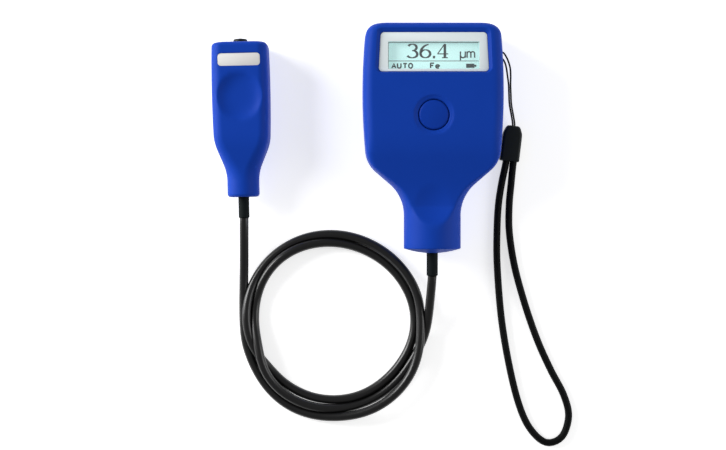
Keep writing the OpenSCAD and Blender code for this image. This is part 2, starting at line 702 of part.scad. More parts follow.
// Strain relief: a sleeve with a collar inside the housing
collar_t = 1.6;
collar_reach = 1.4;
module strain_relief(d, out, through) {
    rotate([90, 0, 0]) {
        translate([0, 0, -through]) cylinder(d = d, h = out + through);
        translate([0, 0, -through - collar_t]) cylinder(r = d / 2 + collar_reach, h = collar_t);
    }
}
gauge_exit = y_nose - nose_crown;
module gauge_sleeve() {
    color(black) translate([0, gauge_exit, part_z])
        strain_relief(gauge_sleeve_d, gauge_sleeve_len, nose_crown + wall + 0.4);
}

// Wrist strap. The clasp's own frame lies on its lower end, turned as it lies.
clasp_at = [35.2, -9.8, 0];
clasp_turn = -7;
clasp_z = clasp_t / 2;
band_pitch = 3.3;
band_x = 0.3;
string_pitch = 0.9;
band_in = 4;
string_in = 3;
clasp_side = [sin(clasp_turn + 90), -cos(clasp_turn + 90), 0];
clasp_up = [-sin(clasp_turn), cos(clasp_turn), 0];
function on_clasp(x, y, z) = clasp_at + x * clasp_side + y * clasp_up + [0, 0, z];
clasp_slope = 3.4;
clasp_corner = 0.7;
clasp_half = [[clasp_w / 2, 0], [clasp_w / 2, clasp_len - clasp_slope],
    [clasp_top_w / 2, clasp_len - clasp_corner], [clasp_top_w / 2 - clasp_corner, clasp_len]];
module strap_clasp() {
    color(black) translate(clasp_at) rotate([0, 0, clasp_turn]) difference() {
        linear_extrude(clasp_t) polygon(concat(clasp_half, [for (k = [len(clasp_half) - 1:-1:0])
            [-clasp_half[k][0], clasp_half[k][1]]]));
        for (s = [-1, 1]) translate([band_x + s * band_pitch / 2, -cut, clasp_z]) rotate([-90, 0, 0])
            cylinder(r = band_d / 2 + seat_gap, h = band_in + cut);
        for (s = [-1, 1]) translate([s * string_pitch / 2, clasp_len + cut, clasp_z]) rotate([90, 0, 0])
            cylinder(r = string_d / 2 + seat_gap, h = string_in + cut);
    }
}
floor_band = band_d / 2;
band_route = concat(
    [on_clasp(band_x - band_pitch / 2, band_in, clasp_z), on_clasp(band_x - band_pitch / 2, -1.5, clasp_z)],
    [[31.9, -20, 2.2], [30.5, -30, 1.6], [29.9, -42, 1.6], [30, -57, 1.6], [31.8, -80, 1.6],
        [35.2, -101, 1.6], [39.6, -119, 1.6], [44.7, -130.4, 1.6], [52, -136.9, 1.6], [59.2, -134.4, 1.6],
        [62.3, -125.1, 1.6], [60, -115.3, 1.6], [54.2, -104.1, 1.6], [48.3, -91, 1.6], [42.7, -75, 1.6],
        [37.9, -57.5, 1.6], [35.5, -42, 1.6], [35.4, -30, 1.6], [36.2, -20, 2.2]],
    [on_clasp(band_x + band_pitch / 2, -1.5, clasp_z), on_clasp(band_x + band_pitch / 2, band_in, clasp_z)]);
module strap_band() {
    color(black) tube(smooth(band_route, 2), band_d);
}
function string_end(side, y) = on_clasp(side * string_pitch / 2, y, clasp_z);
string_route = concat(
    [string_end(1, clasp_len - string_in), string_end(1, clasp_len + 1)],
    [[36.25, 15.5, 3.6], [35.85, 20, 4.7], [35.55, 24.5, 5.9], [35.5, 28, 7], [35.2, 31.4, 8],
        [34.3, 34.4, 8.7], [33.2, 36.7, 9], [31.9, 38.4, 9], [29.6, 38.9, 9], [28, 38.4, 9], [27.5, 37.5, 9],
        [28, 36.7, 9], [29.6, 36.1, 9], [31.5, 35.7, 9], [32.7, 34, 8.7], [33.5, 31.4, 8], [34.1, 28, 7],
        [34.68, 24.5, 5.9], [34.98, 20, 4.7], [35.38, 15.5, 3.6]],
    [string_end(-1, clasp_len + 1), string_end(-1, clasp_len - string_in)]);
module strap_string() {
    color(black) tube(string_route, string_d);
}

// The probe's own frame lies on its back, with its cable end at y 0 and its tip towards +Y.
probe_at = [-83.85, -26.1, 0];
module in_probe() {
    translate(probe_at) rotate([0, 0, probe_turn]) children();
}
function on_probe(x, y, z) = probe_at + [x * cos(probe_turn) - y * sin(probe_turn),
    x * sin(probe_turn) + y * cos(probe_turn), z];
probe_screw_x = 8.5;
probe_screw_in = 12;
probe_screw_at = [for (s = [1, -1]) [s * probe_screw_x, probe_len - probe_screw_in]];
probe_post_r = 2.1;
probe_screw_r = 0.9;
probe_head_r = 1.7;
probe_sink = 4;
probe_bite = 4;
label_in = 8.1;
label_y = probe_len - label_in;
label_r = 1.5;
label_t = 0.25;
label_sink = 0.5;
bush_r = tip_d / 2 + 1.5;
tip_hole_r = tip_d / 2 + free_gap;
module probe_half(h, dip, n) {
    half_shell(skin(probe_form, 0, h, no_clip, dip, n), skin(probe_form, probe_wall, h, no_clip, dip, n));
}
module probe_holes() {
    along_y(tip_hole_r, probe_len - probe_wall - cut, probe_len + cut, probe_axis_z);
    along_y(probe_sleeve_d / 2 + seat_gap, -cut, probe_wall + cut, probe_axis_z);
}

// Ribs of both halves that grip the bush and the spring seat
bush_y1 = probe_len - probe_wall;
bush_len = 10;
bush_y0 = bush_y1 - bush_len;
rib_t = 1.2;
rib_in = 4;
rib_root = 0.4;
seat_back = 24;
rib_y = bush_y0 + rib_in;
seat_y = bush_y0 - seat_back;
seat_t = 1.6;
module probe_ribs(h) {
    for (y = [rib_y, seat_y - rib_t, seat_y + seat_t])
        let (x = skin_w(probe_form, y, probe_wall))
            block(-x - rib_root, x + rib_root, y, y + rib_t, 0, h - probe_wall / 2 - dent_depth);
}
module probe_front_case() {
    color(blue) in_probe() difference() {
        union() {
            translate([0, 0, probe_axis_z]) probe_half(probe_h - probe_axis_z, thumb_dent, front_n);
            translate([0, 0, probe_axis_z]) probe_ribs(probe_h - probe_axis_z);
            for (p = probe_screw_at) translate([p[0], p[1], probe_axis_z])
                cylinder(r = probe_post_r, h = probe_h - probe_axis_z - probe_wall / 2);
        }
        probe_holes();
        probe_core_room();
        translate([0, label_y, probe_h - label_sink])
            rounded_plate(label_w + 2 * seat_gap, label_h + 2 * seat_gap, cut, label_r);
        for (p = probe_screw_at) translate([p[0], p[1], probe_axis_z - cut])
            cylinder(r = probe_screw_r + slide_gap, h = probe_bite + cut + 0.5);
    }
}
module probe_rear_case() {
    color(blue) in_probe() difference() {
        union() {
            translate([0, 0, probe_axis_z]) mirror([0, 0, 1]) probe_half(probe_axis_z, flat, rear_n);
            translate([0, 0, probe_axis_z]) mirror([0, 0, 1]) probe_ribs(probe_axis_z);
            for (y = shelf_at) block(-shelf_w / 2, shelf_w / 2, y, y + rib_t,
                probe_axis_z - skin_h(probe_form, y, probe_wall / 2, probe_axis_z),
                probe_axis_z - probe_board_t);
            for (p = probe_screw_at) translate([p[0], p[1], probe_wall / 2])
                cylinder(r = probe_post_r, h = probe_axis_z - probe_wall / 2);
        }
        probe_holes();
        probe_core_room();
        for (p = probe_screw_at) translate([p[0], p[1], -cut]) {
            cylinder(r = probe_screw_r + slide_gap, h = probe_h);
            cylinder(r = probe_head_r + seat_gap, h = probe_sink + cut);
        }
    }
}

// Room in the ribs for the bush and for the tail of the spring seat
seat_r = 4.2;
module probe_core_room() {
    along_y(bush_r + seat_gap, bush_y0 - cut, bush_y1, probe_axis_z);
    along_y(seat_r - 0.6, seat_y - 2 * rib_t, seat_y + seat_t + 2 * rib_t, probe_axis_z);
}
module probe_label() {
    color("white") in_probe() translate([0, label_y, probe_h - label_sink])
        rounded_plate(label_w, label_h, label_t, label_r);
}
module tip_bush() {
    color("#4a4a4d") in_probe() difference() {
        along_y(bush_r, bush_y0, bush_y1, probe_axis_z);
        along_y(tip_d / 2 + slide_gap, bush_y0 - cut, bush_y1 + cut, probe_axis_z);
    }
}

// Tip: a sleeve with a stop flange behind the bush, a rounded core in it and the sensor coil behind it
core_r = 2;
core_out = 0.6;
stop_r = bush_r - 0.2;
stop_t = 1.4;
stop_y = bush_y0 - free_gap - stop_t;
coil_len = 8;
coil_r = 3.5;
coil_y = stop_y - coil_len;
core_tail = 2;
module tip_sleeve() {
    color(black) in_probe() difference() {
        union() {
            along_y(tip_d / 2, stop_y, probe_len + tip_out, probe_axis_z);
            along_y(stop_r, stop_y, stop_y + stop_t, probe_axis_z);
        }
        along_y(core_r, stop_y - cut, probe_len + tip_out + cut, probe_axis_z);
    }
}
module tip_core() {
    color(metal) in_probe() {
        along_y(core_r, coil_y - core_tail, probe_len + tip_out - core_r + core_out, probe_axis_z);
        translate([0, probe_len + tip_out - core_r + core_out, probe_axis_z]) sphere(core_r);
    }
}
module tip_coil() {
    color(brass) in_probe() difference() {
        along_y(coil_r, coil_y, coil_y + coil_len, probe_axis_z);
        along_y(core_r, coil_y - cut, coil_y + coil_len + cut, probe_axis_z);
    }
}
tip_wire = 0.6;
module tip_spring() {
    color(metal) in_probe() translate([0, seat_y + seat_t, probe_axis_z]) rotate([-90, 0, 0])
        coil_spring(core_r + 0.9, core_r + 0.9, coil_y - seat_y - seat_t, tip_wire, 7);
}
module spring_seat() {
    color("#4a4a4d") in_probe() difference() {
        along_y(seat_r, seat_y, seat_y + seat_t, probe_axis_z);
        along_y(1.2, seat_y - cut, seat_y + seat_t + cut, probe_axis_z);
    }
}

// Probe board: it stands between the spring seat's rib and the throat, on the rear half's floor
probe_board_t = 1;
probe_board_w = 11;
probe_board_y0 = 14;
shelf_w = 7;
shelf_in = 3;
shelf_at = [probe_board_y0 + shelf_in, seat_y - 2 * rib_t - shelf_in];
module probe_board() {
    color(board_green) in_probe() translate([0, 0, probe_axis_z - probe_board_t])
        linear_extrude(probe_board_t) translate([-probe_board_w / 2, probe_board_y0])
            square([probe_board_w, seat_y - rib_t - probe_board_y0]);
}
module probe_screws() {
    color(metal) in_probe() for (p = probe_screw_at) translate([p[0], p[1], probe_sink - 1.4]) {
        cylinder(r = probe_head_r, h = 1.4);
        cylinder(r = probe_screw_r, h = probe_axis_z + probe_bite - probe_sink + 1.4);
    }
}
module probe_sleeve() {
    color(black) in_probe() translate([0, 0, probe_axis_z])
        strain_relief(probe_sleeve_d, probe_sleeve_len, probe_wall + 0.3);
}

// Cable: two free leads and the coil that they run into
coil_at = [-43.2, -84.2, 0];
coil_out = 44.6;
coil_in = 31.2;
coil_h = 9;
coil_bevel = 2.4;
lead_in = 2;
probe_lead_route = concat(
    [for (d = [0, lead_in]) on_probe(0, -probe_sleeve_len - d, probe_axis_z)],
    [[-83.8, -42, 9.6], [-83.9, -49, 7.4], [-84.1, -57, 4.8], [-84.4, -65, 3], [-84.8, -72, 2.3]]);
gauge_lead_route = concat(
    [for (d = [0, lead_in]) [0, gauge_exit - gauge_sleeve_len - d, part_z]],
    [[-0.3, -66.5, 12], [-0.7, -71.5, 9.6], [-1.1, -78, 7], [-1.7, -84, 5]]);
module cable_probe_lead() {
    color(black) tube(probe_lead_route, cable_d, 10);
}
module cable_gauge_lead() {
    color(black) tube(gauge_lead_route, cable_d, 10);
}
module cable_coil() {
    color(black) translate(coil_at) rotate_extrude($fn = 96) polygon([
        [coil_in + coil_bevel, 0], [coil_out - coil_bevel, 0], [coil_out, coil_bevel], [coil_out, coil_h / 2],
        [coil_out - coil_h / 2, coil_h], [coil_in + coil_h / 2, coil_h], [coil_in, coil_h / 2],
        [coil_in, coil_bevel]]);
}

front_case();
rear_case();
battery_door();
display_lens();
lcd_panel();
lcd_frame();
main_board();
push_button();
tact_switch();
switch_plunger();
battery_upper();
battery_lower();
plus_plate();
minus_plate();
bridge_plate();
minus_spring();
bridge_spring();
case_screws();
gauge_sleeve();
strap_string();
strap_clasp();
strap_band();
probe_front_case();
probe_rear_case();
probe_label();
tip_bush();
tip_sleeve();
tip_core();
tip_coil();
tip_spring();
spring_seat();
probe_board();
probe_screws();
probe_sleeve();
cable_probe_lead();
cable_coil();
cable_gauge_lead();
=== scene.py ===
"""Looks of a hand-held coating thickness gauge with a corded probe and a wrist strap.

Everything is in metres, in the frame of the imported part: +Z out of the display, +Y towards the display end.
"""

import math

import bmesh
import bpy
from bpy.props import FloatProperty, FloatVectorProperty, PointerProperty, StringProperty
from bpy.types import Operator, Panel, PropertyGroup
from mathutils import Matrix, Vector


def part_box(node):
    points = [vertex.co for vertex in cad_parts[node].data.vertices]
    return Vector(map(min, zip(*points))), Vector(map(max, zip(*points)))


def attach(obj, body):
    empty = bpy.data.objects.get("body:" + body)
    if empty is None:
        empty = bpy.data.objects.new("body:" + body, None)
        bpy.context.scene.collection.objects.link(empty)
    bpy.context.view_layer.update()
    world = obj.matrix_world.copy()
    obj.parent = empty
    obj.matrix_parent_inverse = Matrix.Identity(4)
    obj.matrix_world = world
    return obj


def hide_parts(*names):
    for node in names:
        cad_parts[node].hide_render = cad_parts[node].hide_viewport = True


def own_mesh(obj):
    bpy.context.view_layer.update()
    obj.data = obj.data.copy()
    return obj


bl_info = {
    "name": "Coating thickness gauge",
    "version": (1, 0, 0),
    "blender": (4, 5, 0),
    "location": "3D View > Sidebar > Gauge",
    "description": "Builds the looks of a coating thickness gauge, its probe, its cable and its strap",
    "category": "Object",
}

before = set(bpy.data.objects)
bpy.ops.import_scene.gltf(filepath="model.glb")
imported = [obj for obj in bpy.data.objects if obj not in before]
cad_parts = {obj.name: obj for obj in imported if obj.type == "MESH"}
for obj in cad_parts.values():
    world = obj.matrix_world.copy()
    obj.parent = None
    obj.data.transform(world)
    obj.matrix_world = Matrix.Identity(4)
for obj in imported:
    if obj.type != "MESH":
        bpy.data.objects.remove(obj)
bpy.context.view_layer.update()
HELD = "instrument"


# Properties


def length(name, description, value):
    """A length in metres."""
    return FloatProperty(name=name, description=description, default=value, unit="LENGTH", precision=5)


def angle(name, description, degrees):
    """An angle, given in degrees."""
    return FloatProperty(name=name, description=description, default=math.radians(degrees), subtype="ANGLE")


def share(name, description, value):
    """A number from 0 to 1."""
    return FloatProperty(name=name, description=description, default=value, min=0, max=1, subtype="FACTOR")


def tint(name, description, value):
    """A linear colour."""
    return FloatVectorProperty(name=name, description=description, default=value, min=0, max=1, subtype="COLOR")


def power(name, description, watts):
    """The power of a light."""
    return FloatProperty(name=name, description=description, default=watts, unit="POWER")


def word(name, description, value):
    """A short text."""
    return StringProperty(name=name, description=description, default=value)


FORM_WORDS = {
    "half_width": "Half the greatest width",
    "wide_at": "Place of the greatest width along the housing",
    "bow_radius": "Radius of the bow in the long sides",
    "shoulder_at": "Place where the shoulders begin",
    "shoulder_radius": "Radius of the rounded shoulders",
    "throat_radius": "Radius of the hollow between shoulder and nose",
    "nose_radius": "Radius of the round nose",
    "nose_at": "Place of the nose's rim",
    "end_at": "Place of the far end",
    "corner_radius": "Corner radius of the far end, seen from the front",
    "end_radius": "Rounding of the far end's edges",
    "edge_radius": "Rounding of the long edges",
    "crown": "Height of the crown on the nose",
    "rim": "Rounding of the nose's rim",
    "front_height": "Height of the front half above the parting plane",
    "rear_height": "Depth of the rear half under the parting plane",
    "wall": "Thickness of the moulded wall",
}


def form_fields(flank_angle, **sizes):
    """The length properties that describe a lofted housing."""
    fields = {key: length(key.replace("_", " ").capitalize(), FORM_WORDS[key], value) for key, value in sizes.items()}
    fields["flank_angle"] = angle("Flank angle", "Steepest angle of the shoulders", flank_angle)
    fields["draft"] = angle("Draft", "Draft of the side walls", 2)
    return fields


class GaugeForm(PropertyGroup):
    """Form of the gauge's housing."""

    __annotations__ = {
        **form_fields(
            49, half_width=0.031, wide_at=0.02, bow_radius=0.28, shoulder_at=-0.0064, shoulder_radius=0.0126,
            throat_radius=0.0184, nose_radius=0.0126, nose_at=-0.0492, end_at=0.0495, corner_radius=0.0055,
            end_radius=0.004, edge_radius=0.0045, crown=0.0019, rim=0.0006, front_height=0.0148,
            rear_height=0.0132, wall=0.002,
        ),
        "scoop_start": length("Scoop start", "Place where the front begins to dip", 0.008),
        "scoop_low": length("Scoop low", "Place of the lowest point of the dip", -0.0305),
        "scoop_depth": length("Scoop depth", "Depth of the dip under the front", 0.0062),
        "tongue_tip": length("Tongue tip", "Place where the dip runs out on the nose", -0.0387),
        "hollow_at": length("Hollow place", "Place of the thumb hollow's middle in the dip", -0.03),
        "hollow_depth": length("Hollow depth", "Depth of the thumb hollow", 0.0008),
        "hollow_width": length("Hollow width", "Width of the thumb hollow", 0.017),
        "hollow_length": length("Hollow length", "Length of the thumb hollow", 0.02),
        "scoop_soft": length("Scoop softness", "Softness of the dip's upper edges", 0.0016),
        "tongue_soft": length("Tongue softness", "Softness of the dip's edges on the nose", 0.0007),
    }


class ProbeForm(PropertyGroup):
    """Form of the probe's housing, in the probe's own frame."""

    __annotations__ = {
        **form_fields(
            21.5, half_width=0.01275, wide_at=0.048, bow_radius=0.6, shoulder_at=0.0277, shoulder_radius=0.021,
            throat_radius=0.021, nose_radius=0.0071, nose_at=0.0, end_at=0.0682, corner_radius=0.002,
            end_radius=0.0022, edge_radius=0.0045, crown=0.0, rim=0.0014, front_height=0.0105,
            rear_height=0.0105, wall=0.0018,
        ),
        "hollow_at": length("Hollow place", "Place of the thumb hollow's middle", 0.0442),
        "hollow_depth": length("Hollow depth", "Depth of the thumb hollow", 0.0018),
        "hollow_width": length("Hollow width", "Width of the thumb hollow", 0.02),
        "hollow_length": length("Hollow length", "Length of the thumb hollow", 0.021),
        "turn": angle("Turn", "Turn of the probe as it lies", 1.24),
    }


class Finishes(PropertyGroup):
    """Colours of the materials."""

    shell: tint("Shell", "Blue of the moulded housings", (0.006, 0.052, 0.42))
    button: tint("Button", "Blue of the push button", (0.005, 0.045, 0.38))
    black: tint("Black parts", "Colour of the clasp and the tip", (0.005, 0.008, 0.009))
    jacket: tint("Cable jacket", "Colour of the cable", (0.007, 0.007, 0.0072))
    strap: tint("Strap", "Colour of the strap's cords", (0.0035, 0.004, 0.0042))
    lens_print: tint("Lens print", "Border printed on the lens", (0.9, 0.98, 0.99))
    lcd: tint("Display", "Ground of the liquid crystal display", (0.55, 0.83, 0.81))
    ink: tint("Display ink", "Colour of the display's marks", (0.03, 0.045, 0.05))
    label: tint("Label", "Paper of the probe's label", (0.8, 0.79, 0.77))


class Cords(PropertyGroup):
    """Sizes of the cable and the strap."""

    cable_diameter: length("Cable", "Diameter of the cable", 0.004)
    band_diameter: length("Wrist loop", "Diameter of the wrist loop", 0.0032)
    string_diameter: length("String", "Diameter of the string", 0.0008)


class Display(PropertyGroup):
    """What the display shows."""

    reading: word("Reading", "Number on the display", "36.4")
    unit: word("Unit", "Unit beside the number", "um")
    mode: word("Mode", "Mode in the lower line", "AUTO")
    base: word("Base", "Base metal in the lower line", "Fe")


class Stage(PropertyGroup):
    """Camera, light and floor."""

    camera_place: FloatVectorProperty(
        name="Camera", description="Place of the camera", default=(-0.0307, -0.0386, 0.6), unit="LENGTH"
    )
    lens: FloatProperty(name="Focal length", description="Focal length in millimetres", default=65.6)
    key_power: power("Key light", "Power of the light on the left", 8.0)
    fill_power: power("Fill light", "Power of the light on the right", 3.4)
    edge_power: power("Edge light", "Power of the low light on the left", 0.45)
    sky: share("Sky", "Strength of the light from all round", 0.24)
    floor: share("Floor glow", "How far the floor is lit from within", 0.68)


class GaugeLooks(PropertyGroup):
    """All settings of the gauge's looks."""

    gauge: PointerProperty(type=GaugeForm)
    probe: PointerProperty(type=ProbeForm)
    finishes: PointerProperty(type=Finishes)
    cords: PointerProperty(type=Cords)
    display: PointerProperty(type=Display)
    stage: PointerProperty(type=Stage)


# Small maths


def mix(a, b, t):
    """The value at share t of the way from a to b."""
    return a + (b - a) * t


def ease(t):
    """A share from 0 to 1 that starts and ends softly."""
    t = min(1.0, max(0.0, t))
    return t * t * (3 - 2 * t)


def arc_drop(radius, d):
    """How far an arc falls at a distance d from its top."""
    return radius - math.sqrt(max(0.0, radius * radius - d * d))


def run(a, b, n):
    """n places from a up to, but not with, b."""
    return [mix(a, b, k / n) for k in range(n)]


def soft_min(a, b, soft):
    """The smaller of two heights, with a rounded meeting."""
    near = max(soft - abs(a - b), 0.0) / soft
    return min(a, b) - near * near * soft / 4


def spline(points, step):
    """A smooth path through points, with a point about every step."""
    points = [Vector(p) for p in points]
    path = []
    for i in range(len(points) - 1):
        a, b, c, d = points[max(0, i - 1)], points[i], points[i + 1], points[min(len(points) - 1, i + 2)]
        n = max(1, round((c - b).length / step))
        for k in range(n):
            t = k / n
            path.append(b + 0.5 * t * (c - a + t * (2 * a - 5 * b + 4 * c - d + t * (3 * (b - c) + d - a))))
    path.append(points[-1])
    return path


def path_length(path):
    """Length of a path through its points."""
    return sum((b - a).length for a, b in zip(path, path[1:]))


# Mesh helpers


CORNERS = ((-1, -1), (1, -1), (1, 1), (-1, 1))
ALONG_Y = (0, 1, 0)
# Ends of a swept tube: bulge and flat face in shares of its radius, and the angles between them
END_BULGE = 0.003
END_FACE = 0.7
END_STEPS = (0.0, 0.5, 1.0)
# Middle of a softened edge, as a share of its size
EDGE_BEND = 0.3
# Surfaces that turn by more than this, in degrees, get a sharp edge
SHARP = 32
SHARP_ON_CORDS = 60
WELD = 1e-7


def new_object(name, verts, faces, uvs=None):
    """A mesh object from plain lists, with its faces turned outwards."""
    mesh = bpy.data.meshes.new(name)
    mesh.from_pydata([tuple(v) for v in verts], [], faces)
    if uvs:
        layer = mesh.uv_layers.new(name="run")
        for polygon, corners in zip(mesh.polygons, uvs):
            for loop, uv in zip(polygon.loop_indices, corners):
                layer.data[loop].uv = uv
    work = bmesh.new()
    work.from_mesh(mesh)
    bmesh.ops.recalc_face_normals(work, faces=work.faces)
    work.to_mesh(mesh)
    work.free()
    obj = bpy.data.objects.new(name, mesh)
    bpy.context.scene.collection.objects.link(obj)
    return obj


def wall_faces(rings, count):
    """The faces between neighbouring rings of equal count."""
    faces = []
    for i in range(rings - 1):
        for k in range(count):
            a, b = i * count + k, i * count + (k + 1) % count
            faces.append([a, b, b + count, a + count])
    return faces


def stack(name, rings):
    """A closed solid through rings of equal count."""
    count = len(rings[0])
    last = (len(rings) - 1) * count
    faces = [list(range(count)), list(range(last, last + count))] + wall_faces(len(rings), count)
    return new_object(name, [p for ring in rings for p in ring], faces)


def rounded_ring(x0, x1, y0, y1, radius, z, n=8):
    """A rectangle with round corners at height z."""
    ring = []
    for cx, cy, start in ((x1, y1, 0), (x0, y1, 90), (x0, y0, 180), (x1, y0, 270)):
        ox = cx - radius if cx == x1 else cx + radius
        oy = cy - radius if cy == y1 else cy + radius
        for k in range(n + 1):
            a = math.radians(start + 90 * k / n)
            ring.append(Vector((ox + radius * math.cos(a), oy + radius * math.sin(a), z)))
    return ring


def window_ring(half, taper, y0, y1, radius, z):
    """A rectangle with round corners that is wider at its lower edge, at height z."""
    middle, tall = (y0 + y1) / 2, y1 - y0
    return [Vector((p.x * (1 - taper / half / 2 * (p.y - middle) / tall), p.y, z))
            for p in rounded_ring(-half, half, y0, y1, radius, z)]


def bevelled_plate(name, x0, x1, y0, y1, radius, z0, z1, edge):
    """A plate with round corners and softened top and bottom edges."""
    bend = edge * EDGE_BEND
    return stack(name, [
        rounded_ring(x0 + inset, x1 - inset, y0 + inset, y1 - inset, radius - inset, z)
        for z, inset in ((z0, edge), (z0 + bend, bend), (z0 + edge, 0), (z1 - edge, 0), (z1 - bend, bend), (z1, edge))
    ])


def turned(name, profile, origin, axis=(0, 0, 1), sides=96):
    """A solid of revolution: profile is (radius, height) pairs along the axis."""
    turn = Vector((0, 0, 1)).rotation_difference(Vector(axis)).to_matrix()
    rings = []
    for radius, height in profile:
        ring = []
        for k in range(sides):
            a = 2 * math.pi * k / sides
            ring.append(Vector(origin) + turn @ Vector((radius * math.cos(a), radius * math.sin(a), height)))
        rings.append(ring)
    return stack(name, rings)


def cylinder(name, origin, axis, radius, reach, sides=48):
    """A plain round bar from its foot along an axis."""
    return turned(name, [(radius, 0.0), (radius, reach)], origin, axis, sides)


def box_solid(name, low, high):
    """A box between two corners."""
    return stack(name, [[Vector((high[0] if i > 0 else low[0], high[1] if j > 0 else low[1], z)) for i, j in CORNERS]
                        for z in (low[2], high[2])])


def sweep(name, path, radius, sides):
    """A round tube along a path, with lengths along it and turns round it in its UV map."""
    path = [Vector(p) for p in path]
    last = len(path) - 1
    heads = [(path[min(i + 1, last)] - path[max(i - 1, 0)]).normalized() for i in range(last + 1)]
    side = heads[0].orthogonal().normalized()
    turns = [2 * math.pi * k / sides for k in range(sides)]
    ends = [(END_BULGE * math.cos(a), mix(END_FACE, 1.0, math.sin(a))) for a in END_STEPS]
    rings, along, done = [], [], 0.0
    for i, (p, head) in enumerate(zip(path, heads)):
        side = (side - head * side.dot(head)).normalized()
        up = head.cross(side)
        done += (p - path[i - 1]).length if i else 0.0
        steps = [(0.0, 1.0)]
        if i == 0:
            steps = [(-shift, grow) for shift, grow in ends] + steps
        if i == last:
            steps = steps + ends[::-1]
        for shift, grow in steps:
            rings.append([p + head * shift * radius + radius * grow * (math.cos(a) * side + math.sin(a) * up)
                          for a in turns])
            along.append(done)
    faces, uvs = wall_faces(len(rings), sides), []
    for here, there in zip(along, along[1:]):
        for k in range(sides):
            low, high = k / sides, (k + 1) / sides
            uvs.append([(here, low), (here, high), (there, high), (there, low)])
    for end, start in ((along[0], 0), (along[-1], (len(rings) - 1) * sides)):
        faces.append(list(range(start, start + sides)))
        uvs.append([(end, 0.5)] * sides)
    return new_object(name, [p for ring in rings for p in ring], faces, uvs)


def combine(target, tool, operation):
    """Cuts a tool out of the target, joins it on, or keeps what both share."""
    change = target.modifiers.new("change", "BOOLEAN")
    change.operation = operation
    change.solver = "EXACT"
    change.object = tool
    graph = bpy.context.evaluated_depsgraph_get()
    mesh = bpy.data.meshes.new_from_object(target.evaluated_get(graph))
    old = target.data
    target.modifiers.clear()
    target.data = mesh
    bpy.data.meshes.remove(old)
    used = tool.data
    bpy.data.objects.remove(tool)
    bpy.data.meshes.remove(used)
    if not target.data.polygons:
        raise RuntimeError(f"{target.name} is empty after {operation}")


def smooth_shade(obj, degrees):
    """Smooth faces, with sharp edges where the surface turns by more than an angle."""
    work = bmesh.new()
    work.from_mesh(obj.data)
    bmesh.ops.remove_doubles(work, verts=work.verts, dist=WELD)
    bmesh.ops.dissolve_degenerate(work, dist=WELD, edges=work.edges)
    for face in work.faces:
        face.smooth = True
    for edge in work.edges:
        edge.smooth = len(edge.link_faces) == 2 and edge.calc_face_angle(0.0) < math.radians(degrees)
    work.to_mesh(obj.data)
    work.free()


def place(obj, material, slot, *nodes, body=HELD, degrees=SHARP):
    """Gives a piece its finish, its shading and the body that it rides on."""
    smooth_shade(obj, degrees)
    obj.data.materials.clear()
    obj.data.materials.append(material)
    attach(obj, body)
    if nodes:
        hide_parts(*nodes)
    return obj


# Lofted housings


# Counts of sections along a housing, and of points over half a section
NOSE_RINGS, THROAT_RINGS, FLANK_RINGS, BODY_RINGS, END_RINGS = 8, 34, 24, 30, 14
HALF_POINTS = 44
NOSE_LEAD = 0.004
CROWN_SHARES = (0.12, 0.3, 0.5, 0.7, 0.85)
RIM_STEPS = 5
# How much closer the points lie on a rounded edge, and how deep the groove along the parting plane is
ARC_WEIGHT = 2.4
SEAM = 0.00022
# Powers that bend the rise to the tongue and the fall into the neck's hollow
TONGUE_RISE = 1.15
HOLLOW_FALL = 1.5


